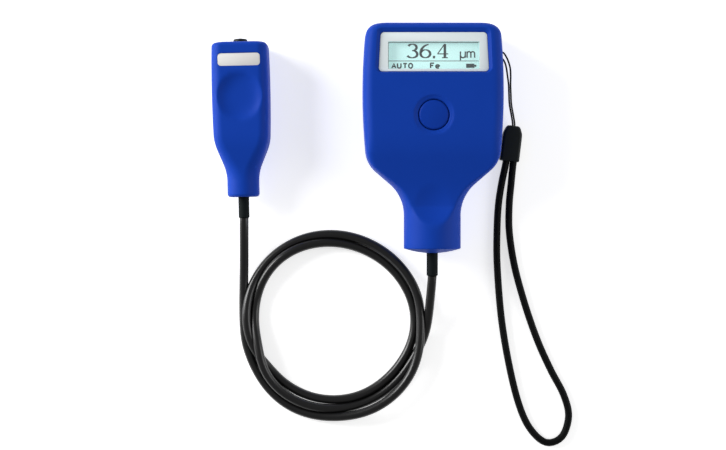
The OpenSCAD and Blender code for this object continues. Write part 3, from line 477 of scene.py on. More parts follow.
class Outline:
    """Half the width of a housing along its length: bowed side, round shoulder, flank, hollow and straight nose."""

    def __init__(self, form):
        self.form = form
        turn = form.flank_angle
        self.start = math.asin((form.wide_at - form.shoulder_at) / form.bow_radius)
        self.shoulder_w = form.half_width - arc_drop(form.bow_radius, form.wide_at - form.shoulder_at)
        self.flank_y = form.shoulder_at - form.shoulder_radius * (math.sin(turn) - math.sin(self.start))
        self.flank_w = self.shoulder_w - form.shoulder_radius * (math.cos(self.start) - math.cos(turn))
        self.throat_w = form.nose_radius + form.throat_radius * (1 - math.cos(turn))
        self.throat_y = self.flank_y - (self.flank_w - self.throat_w) / math.tan(turn)
        self.nose_y = self.throat_y - form.throat_radius * math.sin(turn)

    def width(self, y):
        """Half the width at y."""
        form = self.form
        if y >= form.shoulder_at:
            return form.half_width - arc_drop(form.bow_radius, y - form.wide_at)
        if y >= self.flank_y:
            s = math.sin(self.start) + (form.shoulder_at - y) / form.shoulder_radius
            return self.shoulder_w - form.shoulder_radius * (math.cos(self.start) - math.sqrt(max(0.0, 1 - s * s)))
        if y >= self.throat_y:
            return self.flank_w - (self.flank_y - y) * math.tan(form.flank_angle)
        if y >= self.nose_y:
            return form.nose_radius + arc_drop(form.throat_radius, y - self.nose_y)
        return form.nose_radius

    def taper(self, y):
        """0 on the body, 1 on the nose."""
        if y >= self.form.shoulder_at:
            return 0.0
        drop = (self.shoulder_w - self.width(y)) / (self.shoulder_w - self.form.nose_radius)
        return min(1.0, max(0.0, drop))

    def slant(self, y):
        """How much longer the wall is across than straight to the side."""
        d = 1e-4
        return math.hypot(1, (self.width(y + d) - self.width(y - d)) / (2 * d))

    def section(self, y, inset, height):
        """Half-width, height and corner radius of the section at y, for a skin that lies inset inside."""
        form = self.form
        t = self.taper(y)
        far = form.end_at - inset
        corner, end = form.corner_radius - inset, form.end_radius - inset
        w = self.width(y) - inset * self.slant(y)
        h = mix(height, form.nose_radius, t) - inset
        if y > far - corner:
            w -= arc_drop(corner, y - (far - corner))
        if y > far - end:
            h -= arc_drop(end, y - (far - end))
        return w, h, mix(form.edge_radius, form.nose_radius, t) - inset

    def stations(self):
        """Places of the sections, closer together where the outline turns."""
        form = self.form
        places = run(form.nose_at + form.rim, self.nose_y - NOSE_LEAD, NOSE_RINGS)
        places += run(self.nose_y - NOSE_LEAD, self.throat_y, THROAT_RINGS)
        places += run(self.throat_y, form.shoulder_at, FLANK_RINGS)
        places += run(form.shoulder_at, form.end_at - form.corner_radius, BODY_RINGS)
        turns = run(0, math.pi / 2, END_RINGS) + [math.pi / 2]
        return places + [form.end_at - form.corner_radius * (1 - math.sin(a)) for a in turns]


def half_curve(w, h, radius, draft):
    """Points of a section from its side up to its middle, closer together on the rounded edge."""
    radius = min(radius, h - 1e-5, w - 1e-5)
    lean = (h - radius) * math.tan(draft)
    cx, cz = w - lean - radius, h - radius
    side, arc, top = cz, radius * math.pi / 2 * ARC_WEIGHT, cx
    total = side + arc + top
    points = []
    for k in range(HALF_POINTS + 1):
        s = total * k / HALF_POINTS
        if s <= side:
            f = s / side if side > 0 else 0.0
            points.append((w - lean * f, cz * f))
        elif s <= side + arc:
            a = (s - side) / arc * math.pi / 2
            points.append((cx + radius * math.cos(a), cz + radius * math.sin(a)))
        else:
            f = (s - side - arc) / top if top > 0 else 1.0
            points.append((cx * (1 - f), h))
    return points


def ring_at(outline, y, inset, height, shape):
    """A half section from the right edge of the parting plane over the middle to the left edge."""
    w, h, radius = outline.section(y, inset, height)
    right = half_curve(w, h, radius, outline.form.draft)
    points = right + [(-x, z) for x, z in reversed(right[:-1])]
    ring = [[x, y, shape(x, y, z, inset)] for x, z in points]
    if inset == 0:
        for edge in (ring[0], ring[-1]):
            edge[0] -= math.copysign(SEAM, edge[0])
            edge[2] = 0.0
    return ring


def skin_rings(outline, inset, height, shape):
    """All rings of a skin from the middle of the nose to the far end."""
    form = outline.form
    base = ring_at(outline, form.nose_at + inset, inset, height, shape)
    reach = max(form.nose_radius - inset, 1e-4)
    rim = min(form.rim, reach)
    rings = []
    for s in CROWN_SHARES:
        k = s * (1 - rim / reach)
        rings.append([[x * k, y - form.crown * (1 - s * s), z * k] for x, y, z in base])
    for a in run(0, math.pi / 2, RIM_STEPS):
        k, lift = 1 - rim / reach * (1 - math.sin(a)), rim * (1 - math.cos(a))
        rings.append([[x * k, y + lift, z * k] for x, y, z in base])
    full = form.end_at - form.nose_at
    for place_y in outline.stations():
        y = mix(form.nose_at + inset, form.end_at - inset, (place_y - form.nose_at) / full)
        rings.append(ring_at(outline, y, inset, height, shape))
    return rings


def half_shell(name, outline, height, shape, plane, down=False):
    """One half of a moulded housing: outer skin, inner skin and the rim between them."""
    outer = skin_rings(outline, 0.0, height, shape)
    inner = skin_rings(outline, outline.form.wall, height, shape)
    rows, cols = len(outer), len(outer[0])
    n, last = rows * cols, (rows - 1) * cols
    sign = -1 if down else 1
    verts = [(x, y, plane + sign * z) for ring in outer + inner for x, y, z in ring]
    faces = []
    for shift in (0, n):
        for i in range(rows - 1):
            for j in range(cols - 1):
                a = shift + i * cols + j
                faces.append([a, a + 1, a + cols + 1, a + cols])
        faces.append([shift + j for j in range(cols)])
        faces.append([shift + last + j for j in range(cols)])
    for i in range(rows - 1):
        for j in (0, cols - 1):
            a = i * cols + j
            faces.append([a, a + cols, n + a + cols, n + a])
    faces.append([0, n, n + cols - 1, cols - 1])
    faces.append([last, n + last, n + last + cols - 1, last + cols - 1])
    return new_object(name, verts, faces)


def solid_half(name, outline, height, shape, plane, start, inset=0.0):
    """The filled form of a rear half from a place along the housing to its far end."""
    rings = [ring for ring in skin_rings(outline, inset, height, shape) if ring[0][1] > start]
    return stack(name, [[Vector((x, y, plane - z)) for x, y, z in ring] for ring in rings])


def plain(x, y, z, inset):
    """A shape that changes nothing."""
    return z


def hollow(form, x, y):
    """Share of the way from a thumb hollow's rim to its middle."""
    return max(0.0, 1 - (2 * x / form.hollow_width) ** 2 - (2 * (y - form.hollow_at) / form.hollow_length) ** 2)


def scooped(form):
    """Shape of the gauge's front: the dip that runs down the neck and out on the nose, with a thumb hollow in it."""
    crest, tip = form.front_height, form.nose_radius
    low = crest - form.scoop_depth

    def shape(x, y, z, inset):
        if y >= form.scoop_low:
            fall = ease((form.scoop_start - y) / (form.scoop_start - form.scoop_low))
            height = mix(crest + form.scoop_soft, low, fall)
        else:
            climb = (form.scoop_low - y) / (form.scoop_low - form.tongue_tip)
            height = low + (tip - low) * climb ** TONGUE_RISE
        soft = mix(form.tongue_soft, form.scoop_soft, ease((y - form.scoop_low) / (form.shoulder_at - form.scoop_low)))
        height -= inset + form.hollow_depth * hollow(form, x, y) ** HOLLOW_FALL
        return soft_min(z, height, soft) if z > 0 else z

    return shape


def dented(form):
    """Shape of the probe's front: a thumb hollow in the plain form."""

    def shape(x, y, z, inset):
        inside = hollow(form, x, y)
        return z if z < form.front_height / 2 else z - form.hollow_depth * inside * (2 - inside)

    return shape


# Materials


FLOAT = "NodeSocketFloat"
COLOUR = "NodeSocketColor"
GREY = (0.5, 0.5, 0.5, 1)
# Painted shade: how much darker the gaps between strands and turns are made
GAP_SHADE = 0.35


def set_inputs(node, **values):
    """Sets inputs by their names in lower case, with _ for each space."""
    for key, value in values.items():
        node.inputs[key.replace("_", " ").title()].default_value = value


def add_node(tree, kind, **values):
    """A shader node with some of its inputs set."""
    node = tree.nodes.new(kind)
    set_inputs(node, **values)
    return node


def feed(tree, slot, value):
    """Links a socket to an input, or sets the input to a plain value."""
    if isinstance(value, bpy.types.NodeSocket):
        tree.links.new(value, slot)
    else:
        slot.default_value = value


def math_node(tree, operation, *values):
    """A Math node fed by sockets or numbers; gives its output socket."""
    node = tree.nodes.new("ShaderNodeMath")
    node.operation = operation
    for slot, value in zip(node.inputs, values):
        feed(tree, slot, value)
    return node.outputs[0]


def centred(tree, value, amount):
    """A value from 0 to 1, moved to lie about 0 and scaled."""
    return math_node(tree, "MULTIPLY", math_node(tree, "SUBTRACT", value, 0.5), amount)


def colour_mix(tree, factor, a, b):
    """A Mix node fed by sockets or colours; gives its output socket."""
    node = tree.nodes.new("ShaderNodeMix")
    node.data_type = "RGBA"
    for key, value in (("Factor", factor), ("A", a), ("B", b)):
        feed(tree, node.inputs[key], value)
    return node.outputs["Result"]


def own_place(tree):
    """Coordinates that stay with the object."""
    return tree.nodes.new("ShaderNodeTexCoord").outputs["Object"]


def noise(tree, scale, detail):
    """Noise in the object's own coordinates; gives its value from 0 to 1."""
    node = add_node(tree, "ShaderNodeTexNoise", detail=detail)
    feed(tree, node.inputs["Scale"], scale)
    feed(tree, node.inputs["Vector"], own_place(tree))
    return node.outputs["Fac"]


def group_shell(name, inputs, outputs):
    """An empty shader node group, with the sockets that it takes in and puts out."""
    group = bpy.data.node_groups.new(name, "ShaderNodeTree")
    for label, value in inputs.items():
        kind = COLOUR if isinstance(value, tuple) else FLOAT
        group.interface.new_socket(label, in_out="INPUT", socket_type=kind).default_value = value
    for label, kind in outputs.items():
        group.interface.new_socket(label, in_out="OUTPUT", socket_type=kind)
    return group, group.nodes.new("NodeGroupInput").outputs, group.nodes.new("NodeGroupOutput").inputs


def grain_group():
    """Moulded grain: fine spark-eroded texture, faint mottling and handling marks."""
    group, given, out = group_shell(
        "moulded_grain",
        {"Colour": GREY, "Grain Scale": 2600.0, "Mottle": 0.06, "Gloss": 0.4, "Gloss Spread": 0.12},
        {"Colour": COLOUR, "Roughness": FLOAT, "Height": FLOAT},
    )
    fine = noise(group, given["Grain Scale"], 3.0)
    broad = noise(group, 70.0, 2.0)
    marks = noise(group, 260.0, 4.0)
    shade = math_node(group, "ADD", centred(group, broad, given["Mottle"]), 1.0)
    shade = math_node(group, "ADD", shade, centred(group, fine, given["Mottle"]))
    tone = group.nodes.new("ShaderNodeVectorMath")
    tone.operation = "SCALE"
    feed(group, tone.inputs[0], given["Colour"])
    feed(group, tone.inputs["Scale"], shade)
    feed(group, out["Colour"], tone.outputs[0])
    spread = centred(group, marks, given["Gloss Spread"])
    feed(group, out["Roughness"], math_node(group, "ADD", given["Gloss"], spread))
    feed(group, out["Height"], math_node(group, "MULTIPLY_ADD", broad, 0.25, fine))
    return group


def edge_highlight_group():
    """Painted highlight: a lighter colour, in patches, on the convex edges of a housing."""
    group, given, out = group_shell(
        "edge_wear", {"Colour": GREY, "Worn": (0.6, 0.6, 0.6, 1), "Amount": 0.3}, {"Colour": COLOUR}
    )
    ramp = add_node(group, "ShaderNodeMapRange", from_min=0.52, from_max=0.62)
    feed(group, ramp.inputs["Value"], group.nodes.new("ShaderNodeNewGeometry").outputs["Pointiness"])
    patchy = math_node(group, "MULTIPLY", ramp.outputs["Result"], noise(group, 420.0, 3.0))
    mask = math_node(group, "MULTIPLY", patchy, given["Amount"])
    feed(group, out["Colour"], colour_mix(group, mask, given["Colour"], given["Worn"]))
    return group


def braid_group():
    """Braided cord: two families of strands that cross round the cord, read from its UV map."""
    group, given, out = group_shell("cord_braid", {"Strands": 8.0, "Pitch": 0.006}, {"Height": FLOAT, "Gap": FLOAT})
    split = group.nodes.new("ShaderNodeSeparateXYZ")
    feed(group, split.inputs[0], group.nodes.new("ShaderNodeUVMap").outputs["UV"])
    along = math_node(group, "DIVIDE", split.outputs["X"], given["Pitch"])
    across = math_node(group, "MULTIPLY", split.outputs["Y"], given["Strands"])
    waves = []
    for lean in (8.0, -8.0):
        turn = math_node(group, "MULTIPLY_ADD", along, lean, across)
        wave = math_node(group, "SINE", math_node(group, "MULTIPLY", turn, math.pi))
        waves.append(math_node(group, "ABSOLUTE", wave))
    top = math_node(group, "MAXIMUM", *waves)
    feed(group, out["Height"], top)
    feed(group, out["Gap"], math_node(group, "SUBTRACT", 1.0, top))
    return group


def once(make):
    """Keeps a finish, so that each is made at its first use only."""

    def kept(self, name, *values, **more):
        if name not in self.made:
            self.made[name] = make(self, name, *values, **more)
        return self.made[name]

    return kept


def painted_gap_shade(colour):
    """The colour of a cord or wire down in its gaps, darkened as painted shade."""
    return (*(c * GAP_SHADE for c in colour), 1)


class Palette:
    """The finishes and their shared effects, each made at its first use."""

    def __init__(self):
        self.made = {}
        self.groups = {}

    def use(self, tree, make, **values):
        """A shared effect with some of its inputs set."""
        if make not in self.groups:
            self.groups[make] = make()
        node = tree.nodes.new("ShaderNodeGroup")
        node.node_tree = self.groups[make]
        set_inputs(node, **values)
        return node

    def start(self, name, roughness, specular=0.5, metallic=0.0):
        """A new material, its node tree and its shader."""
        material = bpy.data.materials.new(name)
        material.use_nodes = True
        shader = material.node_tree.nodes["Principled BSDF"]
        shader.inputs["Specular IOR Level"].default_value = specular
        set_inputs(shader, roughness=roughness, metallic=metallic)
        return material, material.node_tree, shader

    def grained(self, tree, shader, colour, gloss, **values):
        """Moulded grain that feeds a shader's colour and roughness."""
        grain = self.use(tree, grain_group, colour=(*colour, 1), gloss=gloss, **values)
        feed(tree, shader.inputs["Base Color"], grain.outputs["Colour"])
        feed(tree, shader.inputs["Roughness"], grain.outputs["Roughness"])
        return grain

    def bump(self, tree, shader, height, distance):
        """Relief from a height that varies between 0 and about 1."""
        node = add_node(tree, "ShaderNodeBump", strength=1.0, distance=distance)
        feed(tree, node.inputs["Height"], height)
        feed(tree, shader.inputs["Normal"], node.outputs["Normal"])

    @once
    def moulded(self, name, colour, scale, gloss, depth, worn=None, mottle=0.05, specular=0.5, spread=0.1, glow=0.0):
        """A moulded plastic or rubber, with grain and, where asked, a painted highlight on its edges or a glow."""
        material, tree, shader = self.start(name, gloss, specular)
        grain = self.grained(tree, shader, colour, gloss, grain_scale=scale, mottle=mottle, gloss_spread=spread)
        source = grain.outputs["Colour"]
        # Lighter edges from here on are a painted highlight
        if worn:
            painted_edges = self.use(tree, edge_highlight_group, worn=(*worn[0], 1), amount=worn[1])
            feed(tree, painted_edges.inputs["Colour"], source)
            source = painted_edges.outputs["Colour"]
            feed(tree, shader.inputs["Base Color"], source)
        # Emission from the material itself: on the display's ground it is partly a backlight and partly painted light
        if glow:
            feed(tree, shader.inputs["Emission Color"], source)
            set_inputs(shader, emission_strength=glow)
        self.bump(tree, shader, grain.outputs["Height"], depth)
        return material

    @once
    def metal(self, name, colour, gloss):
        """A plated or drawn metal with fine tarnish."""
        material, tree, shader = self.start(name, gloss, metallic=1.0)
        grain = self.grained(tree, shader, colour, gloss, grain_scale=900.0, mottle=0.18, gloss_spread=0.2)
        self.bump(tree, shader, grain.outputs["Height"], 0.00001)
        return material

    @once
    def braided(self, name, colour, strands, pitch, depth, gloss):
        """A braided cord, with painted shade in its gaps."""
        material, tree, shader = self.start(name, gloss, 0.08)
        set_inputs(shader, sheen_weight=0.02, sheen_roughness=0.5)
        braid = self.use(tree, braid_group, strands=strands, pitch=pitch)
        grain = self.grained(tree, shader, colour, gloss, grain_scale=4000.0, mottle=0.5)
        blend = colour_mix(tree, braid.outputs["Gap"], grain.outputs["Colour"], painted_gap_shade(colour))
        feed(tree, shader.inputs["Base Color"], blend)
        height = math_node(tree, "MULTIPLY_ADD", grain.outputs["Height"], 0.15, braid.outputs["Height"])
        self.bump(tree, shader, height, depth)
        return material

    @once
    def wound(self, name, colour):
        """Enamelled wire wound in close turns along Y, with painted shade between the turns."""
        material, tree, shader = self.start(name, 0.3, metallic=0.8)
        wave = add_node(tree, "ShaderNodeTexWave", scale=900.0, distortion=0.4)
        wave.bands_direction = "Y"
        feed(tree, wave.inputs["Vector"], own_place(tree))
        wire = colour_mix(tree, wave.outputs["Fac"], painted_gap_shade(colour), (*colour, 1))
        feed(tree, shader.inputs["Base Color"], wire)
        self.bump(tree, shader, wave.outputs["Fac"], 0.00008)
        return material

    @once
    def clear(self, name):
        """Clear hard-coated acrylic over the display."""
        material, tree, shader = self.start(name, 0.08)
        self.grained(tree, shader, (0.9, 0.95, 0.96), 0.08, gloss_spread=0.05)
        set_inputs(shader, alpha=0.06)
        material.blend_method = "BLEND"
        return material


palette = Palette()
# Colour of the painted highlight on the blue edges
HIGHLIGHT_BLUE = (0.015, 0.11, 0.62)


def blue_shell(finishes):
    """The blue of both housings, with a painted highlight on their edges."""
    return palette.moulded("blue_moulding", finishes.shell, 3200.0, 0.5, 0.00002, worn=(HIGHLIGHT_BLUE, 0.35), mottle=0.07,
                           specular=0.08)


def black_moulding(finishes):
    """The black of the clasp, the tip and the small pieces inside, with a painted highlight on their edges."""
    return palette.moulded("black_moulding", finishes.black, 2600.0, 0.5, 0.00003,
                           worn=((0.04, 0.045, 0.05), 0.3), mottle=0.2, specular=0.25)


def plated_steel():
    """The steel of screws, springs, contacts and the tip's core."""
    return palette.metal("plated_steel", (0.62, 0.62, 0.6), 0.28)


# Places shared by the pieces

PROBE_AT = Vector((-0.08385, -0.0261, 0.0))
PROBE_AXIS_Z = 0.0105
GAUGE_PLANE = 0.0132
GAUGE_FRONT = 0.028
BUTTON_AT = Vector((0.0, 0.0092, 0.0))
LENS_TAPER = 0.0018
LENS_CORNER = 0.0016
# The part of the lens that is left clear: both sides, foot and head
VIEW = (-0.0198, 0.0198, 0.0291, 0.041)
# The opening under the lens in the same order, and its depth
OPENING = (-0.02, 0.02, 0.0288, 0.0412)
OPENING_DEPTH = (0.018, 0.0262)
DOOR_RAIL = 0.0012
BORE_REACH = 0.008
# Radius of a face's middle, where a turned profile closes
MIDDLE = 0.0001
# Screws seen from the back: places, then posts and wells as radius, foot and head
SCREW_SPOTS = ((0.0235, 0.013), (-0.0235, 0.013), (0.0055, -0.0235), (-0.0055, -0.0235))
SCREW_SEAT = ((0.0031, 0.0016, 0.0125), (0.0024, -0.002, 0.006))
PROBE_SCREW_SEAT = ((0.0021, 0.0012, 0.0098), (0.0018, -0.002, 0.004))
# Radii of head and shank, and height of the head
SCREW_FORM = (0.0023, 0.0011, 0.002)
PROBE_SCREW_FORM = (0.0017, 0.0009, 0.0014)


def probe_matrix(form):
    """From the probe's own frame to its place."""
    return Matrix.Translation(PROBE_AT) @ Matrix.Rotation(form.turn, 4, "Z")


def on_probe(form, x, y, z=PROBE_AXIS_Z):
    """A point in the probe's own frame, on its axis if no height is given."""
    return probe_matrix(form) @ Vector((x, y, z))


def along_probe(form):
    """The direction from the probe's cable end to its tip."""
    return probe_matrix(form).to_3x3() @ Vector(ALONG_Y)


def probe_screw_spots(form):
    """Places of the probe's screws in its own frame."""
    return [(x, form.end_at - 0.012) for x in (0.0085, -0.0085)]


def screw_seat(x, y, post, well):
    """A post to join on and then a well to cut, for a screw from the back."""
    for name, (radius, foot, head), operation in (("post", post, "UNION"), ("well", well, "DIFFERENCE")):
        yield turned(name, [(radius, foot), (radius, head)], (x, y, 0)), operation


def bore(y, z, radius):
    """A cutter along Y through a wall at y."""
    return cylinder("bore", (0, y - BORE_REACH / 2, z), ALONG_Y, radius, BORE_REACH)


def helix(turns, wire, reach, foot_radius, head_radius):
    """A compression spring with closed ends: distances from its foot, and places across it."""
    sides, closed = 24, 0.8
    for k in range(turns * sides + 1):
        t, a = k / (turns * sides), 2 * math.pi * k / sides
        rise = min(1.0, max(0.0, (t * turns - closed) / (turns - 2 * closed)))
        radius = mix(foot_radius, head_radius, t)
        yield wire / 2 + rise * (reach - wire), radius * math.cos(a), radius * math.sin(a)


# Cords: the points of their routes, in metres

CLASP_AT = Vector((0.0352, -0.0098, 0.0))
CLASP_TURN = Matrix.Rotation(math.radians(-7), 3, "Z")
CLASP_LENGTH = 0.016
CLASP_MID = 0.003
BAND_SHIFT = 0.0003
BAND_PITCH = 0.0033
STRING_PITCH = 0.0009
BAND_ROUTE = [
    (0.0319, -0.02, 0.0022), (0.0305, -0.03, 0.0016), (0.0299, -0.042, 0.0016), (0.03, -0.057, 0.0016),
    (0.0318, -0.08, 0.0016), (0.0352, -0.101, 0.0016), (0.0396, -0.119, 0.0016), (0.0447, -0.1304, 0.0016),
    (0.052, -0.1369, 0.0016), (0.0592, -0.1344, 0.0016), (0.0623, -0.1251, 0.0016), (0.06, -0.1153, 0.0016),
    (0.0542, -0.1041, 0.0016), (0.0483, -0.091, 0.0016), (0.0427, -0.075, 0.0016), (0.0379, -0.0575, 0.0016),
    (0.0355, -0.042, 0.0016), (0.0354, -0.03, 0.0016), (0.0362, -0.02, 0.0022),
]
STRING_ROUTE = [
    (0.03625, 0.0155, 0.0036), (0.03585, 0.02, 0.0047), (0.03555, 0.0245, 0.0059), (0.0355, 0.028, 0.007),
    (0.0352, 0.0314, 0.008), (0.0343, 0.0344, 0.0087), (0.0332, 0.0367, 0.009), (0.0319, 0.0384, 0.009),
    (0.0296, 0.0389, 0.009), (0.028, 0.0384, 0.009), (0.0275, 0.0375, 0.009), (0.028, 0.0367, 0.009),
    (0.0296, 0.0361, 0.009), (0.0315, 0.0357, 0.009), (0.0327, 0.034, 0.0087), (0.0335, 0.0314, 0.008),
    (0.0341, 0.028, 0.007), (0.03468, 0.0245, 0.0059), (0.03498, 0.02, 0.0047), (0.03538, 0.0155, 0.0036),
]
PROBE_LEAD = [
    (-0.0838, -0.042, 0.0096), (-0.0839, -0.049, 0.0074), (-0.0841, -0.057, 0.0048), (-0.0844, -0.065, 0.003),
    (-0.0848, -0.072, 0.0023),
]
GAUGE_LEAD = [
    (-0.0011, -0.078, 0.007), (-0.0007, -0.0715, 0.0096), (-0.0003, -0.0665, 0.012), (0.0, -0.0631, 0.0132),
    (0.0, -0.0611, 0.0132),
]
COIL_AT = Vector((-0.0432, -0.0842, 0.0))
# How the turns lie: angle in degrees, radius and height
COIL_LAY = [
    (180, 0.0415, 0.002), (195, 0.0411, 0.002), (203, 0.0409, 0.002), (210, 0.041, 0.002), (225, 0.0416, 0.002),
    (240, 0.0419, 0.0022), (250, 0.0417, 0.0025), (260, 0.0414, 0.0029), (270, 0.041, 0.0036), (282, 0.0409, 0.005),
    (295, 0.041, 0.006), (310, 0.0408, 0.006), (322, 0.0405, 0.006), (332, 0.0401, 0.0061), (341, 0.0394, 0.0063),
    (350, 0.0388, 0.0065), (360, 0.0385, 0.0064), (370, 0.0389, 0.006), (380, 0.0398, 0.0056), (395, 0.04, 0.0052),
    (410, 0.0403, 0.0046), (425, 0.0406, 0.0039), (440, 0.0412, 0.0032), (455, 0.0418, 0.0026), (470, 0.0423, 0.0021),
    (485, 0.0425, 0.002), (500, 0.0424, 0.0023), (510, 0.0421, 0.003), (520, 0.0415, 0.0042), (530, 0.0407, 0.005),
    (540, 0.0398, 0.0053), (548, 0.0389, 0.0048), (554, 0.0384, 0.0044), (560, 0.0374, 0.0035),
    (566, 0.0361, 0.0027), (572, 0.0353, 0.0022), (580, 0.035, 0.002), (592, 0.0345, 0.002), (600, 0.0341, 0.002),
    (610, 0.0339, 0.002), (620, 0.0336, 0.002), (630, 0.0334, 0.002), (650, 0.0333, 0.002), (665, 0.0332, 0.002),
    (678, 0.0334, 0.002), (690, 0.0339, 0.002), (700, 0.0346, 0.002), (710, 0.0354, 0.002), (720, 0.036, 0.002),
    (735, 0.0365, 0.002), (755, 0.0364, 0.002), (775, 0.0365, 0.002), (790, 0.0368, 0.0022), (805, 0.0375, 0.0026),
    (820, 0.0383, 0.0034), (835, 0.0391, 0.0042), (848, 0.0394, 0.0048), (860, 0.0392, 0.0044), (870, 0.0386, 0.0036),
    (880, 0.0378, 0.0028), (890, 0.037, 0.0028), (896, 0.0366, 0.0036), (902, 0.0361, 0.0046), (908, 0.0357, 0.0057),
    (914, 0.0355, 0.0066), (920, 0.036, 0.0069), (926, 0.0369, 0.007), (932, 0.0375, 0.0068), (940, 0.0379, 0.0063),
    (950, 0.0381, 0.0055), (960, 0.038, 0.0048), (970, 0.0378, 0.0045), (980, 0.0375, 0.004), (990, 0.0372, 0.0034),
    (1000, 0.0372, 0.0026), (1012, 0.0372, 0.0021), (1025, 0.0372, 0.002), (1038, 0.0373, 0.002),
    (1050, 0.0376, 0.002), (1060, 0.0383, 0.0021), (1070, 0.0399, 0.0029), (1080, 0.0416, 0.0046),
]
COIL_STEP = 6
COIL_ROUNDS = 2
# Where the cable leaves the probe's sleeve, in the probe's frame, and how far it then runs straight
CABLE_EXIT = -0.0093
CABLE_STRAIGHT = 0.002
# Spacing of the points along each cord
CABLE_STEP, BAND_STEP, STRING_STEP = 0.0012, 0.0015, 0.0006


def on_clasp(x, y, z=CLASP_MID):
    """A point in the clasp's own frame, at half its thickness if no height is given."""
    return CLASP_AT + CLASP_TURN @ Vector((x, y, z))


def coil_points():
    """The cable's turns: the radius and height of the lay at even steps of angle."""
    points, spot = [], 0
    for degrees in range(COIL_LAY[0][0], COIL_LAY[-1][0] + 1, COIL_STEP):
        while degrees > COIL_LAY[spot + 1][0]:
            spot += 1
        (a0, r0, z0), (a1, r1, z1) = COIL_LAY[spot], COIL_LAY[spot + 1]
        t = (degrees - a0) / (a1 - a0)
        radius, height = mix(r0, r1, t), mix(z0, z1, t)
        a = math.radians(degrees)
        points.append(COIL_AT + Vector((radius * math.cos(a), radius * math.sin(a), height)))
    return points


def evened(points, rounds):
    """Points pulled towards their neighbours, with both ends kept."""
    for _ in range(rounds):
        points = points[:1] + [
            (a + 2 * b + c) / 4 for a, b, c in zip(points, points[1:], points[2:])
        ] + points[-1:]
    return points


SENSOR_WIDTH = 36
CLIP_START = 0.01
FLOOR_REACH = 4.0
FLOOR_DROP = 1e-4
SUBJECT = (-0.02, -0.03, 0)


class GAUGE_OT_stage(Operator):
    """Camera, floor and soft studio light"""

    bl_idname = "gauge.stage"
    bl_label = "Stage"

    def execute(self, context):
        scene = context.scene
        stage = scene.gauge_looks.stage
        camera = bpy.data.objects.new("camera", bpy.data.cameras.new("camera"))
        camera.data.lens = stage.lens
        camera.data.sensor_width = SENSOR_WIDTH
        camera.data.clip_start = CLIP_START
        camera.location = stage.camera_place
        scene.collection.objects.link(camera)
        scene.camera = camera

        corners = [(i * FLOOR_REACH, j * FLOOR_REACH, -FLOOR_DROP) for i, j in CORNERS]
        floor = new_object("floor", corners, [[0, 1, 2, 3]])
        material, tree, shader = palette.start("floor_sweep", 0.7, 0.2)
        paper = palette.use(tree, grain_group, colour=(0.9, 0.9, 0.9, 1), grain_scale=300.0, mottle=0.01)
        for socket in ("Base Color", "Emission Color"):
            feed(tree, shader.inputs[socket], paper.outputs["Colour"])
        set_inputs(shader, emission_strength=stage.floor)
        floor.data.materials.append(material)

        for name, spot, aim, watts, size in (
            ("key_light", (-0.8, 0.32, 0.42), SUBJECT, stage.key_power, 0.5),
            ("edge_light", (-0.42, 0.0, 0.06), (-0.09, -0.03, 0.01), stage.edge_power, 0.16),
            ("fill_light", (0.85, 0.0, 0.45), SUBJECT, stage.fill_power, 0.7),
        ):
            lamp = bpy.data.lights.new(name, "AREA")
            lamp.energy = watts
            lamp.shape = "DISK"
            lamp.size = size
            obj = bpy.data.objects.new(name, lamp)
            obj.location = spot
            obj.rotation_euler = (Vector(aim) - Vector(spot)).to_track_quat("-Z", "Y").to_euler()
            scene.collection.objects.link(obj)

        world = scene.world or bpy.data.worlds.new("sky")
        scene.world = world
        world.use_nodes = True
        set_inputs(world.node_tree.nodes["Background"], color=(1, 1, 1, 1), strength=stage.sky)
        scene.view_settings.view_transform = "Standard"
        return {"FINISHED"}


class GAUGE_OT_cable(Operator):
    """The cable from the probe through its loose turns to the gauge"""

    bl_idname = "gauge.cable"
    bl_label = "Cable"

    def execute(self, context):
        looks = context.scene.gauge_looks
        diameter = looks.cords.cable_diameter
        first = on_probe(looks.probe, 0, CABLE_EXIT)
        if abs(first.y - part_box("probe_sleeve")[0].y) > 0.001:
            raise RuntimeError("the cable doesn't start at the probe's sleeve")
        second = on_probe(looks.probe, 0, CABLE_EXIT - CABLE_STRAIGHT)
        points = [first, second, *map(Vector, PROBE_LEAD), *coil_points(), *map(Vector, GAUGE_LEAD)]
        path = spline(evened(points, COIL_ROUNDS), CABLE_STEP)
        cable = sweep("cable", path, diameter / 2, 24)
        jacket = palette.moulded("cable_jacket", looks.finishes.jacket, 1500.0, 0.3, 0.000008, mottle=0.2)
        place(cable, jacket, "black_rubber", "cable_probe_lead", "cable_coil", "cable_gauge_lead",
              degrees=SHARP_ON_CORDS)
        path_length(path)
        return {"FINISHED"}


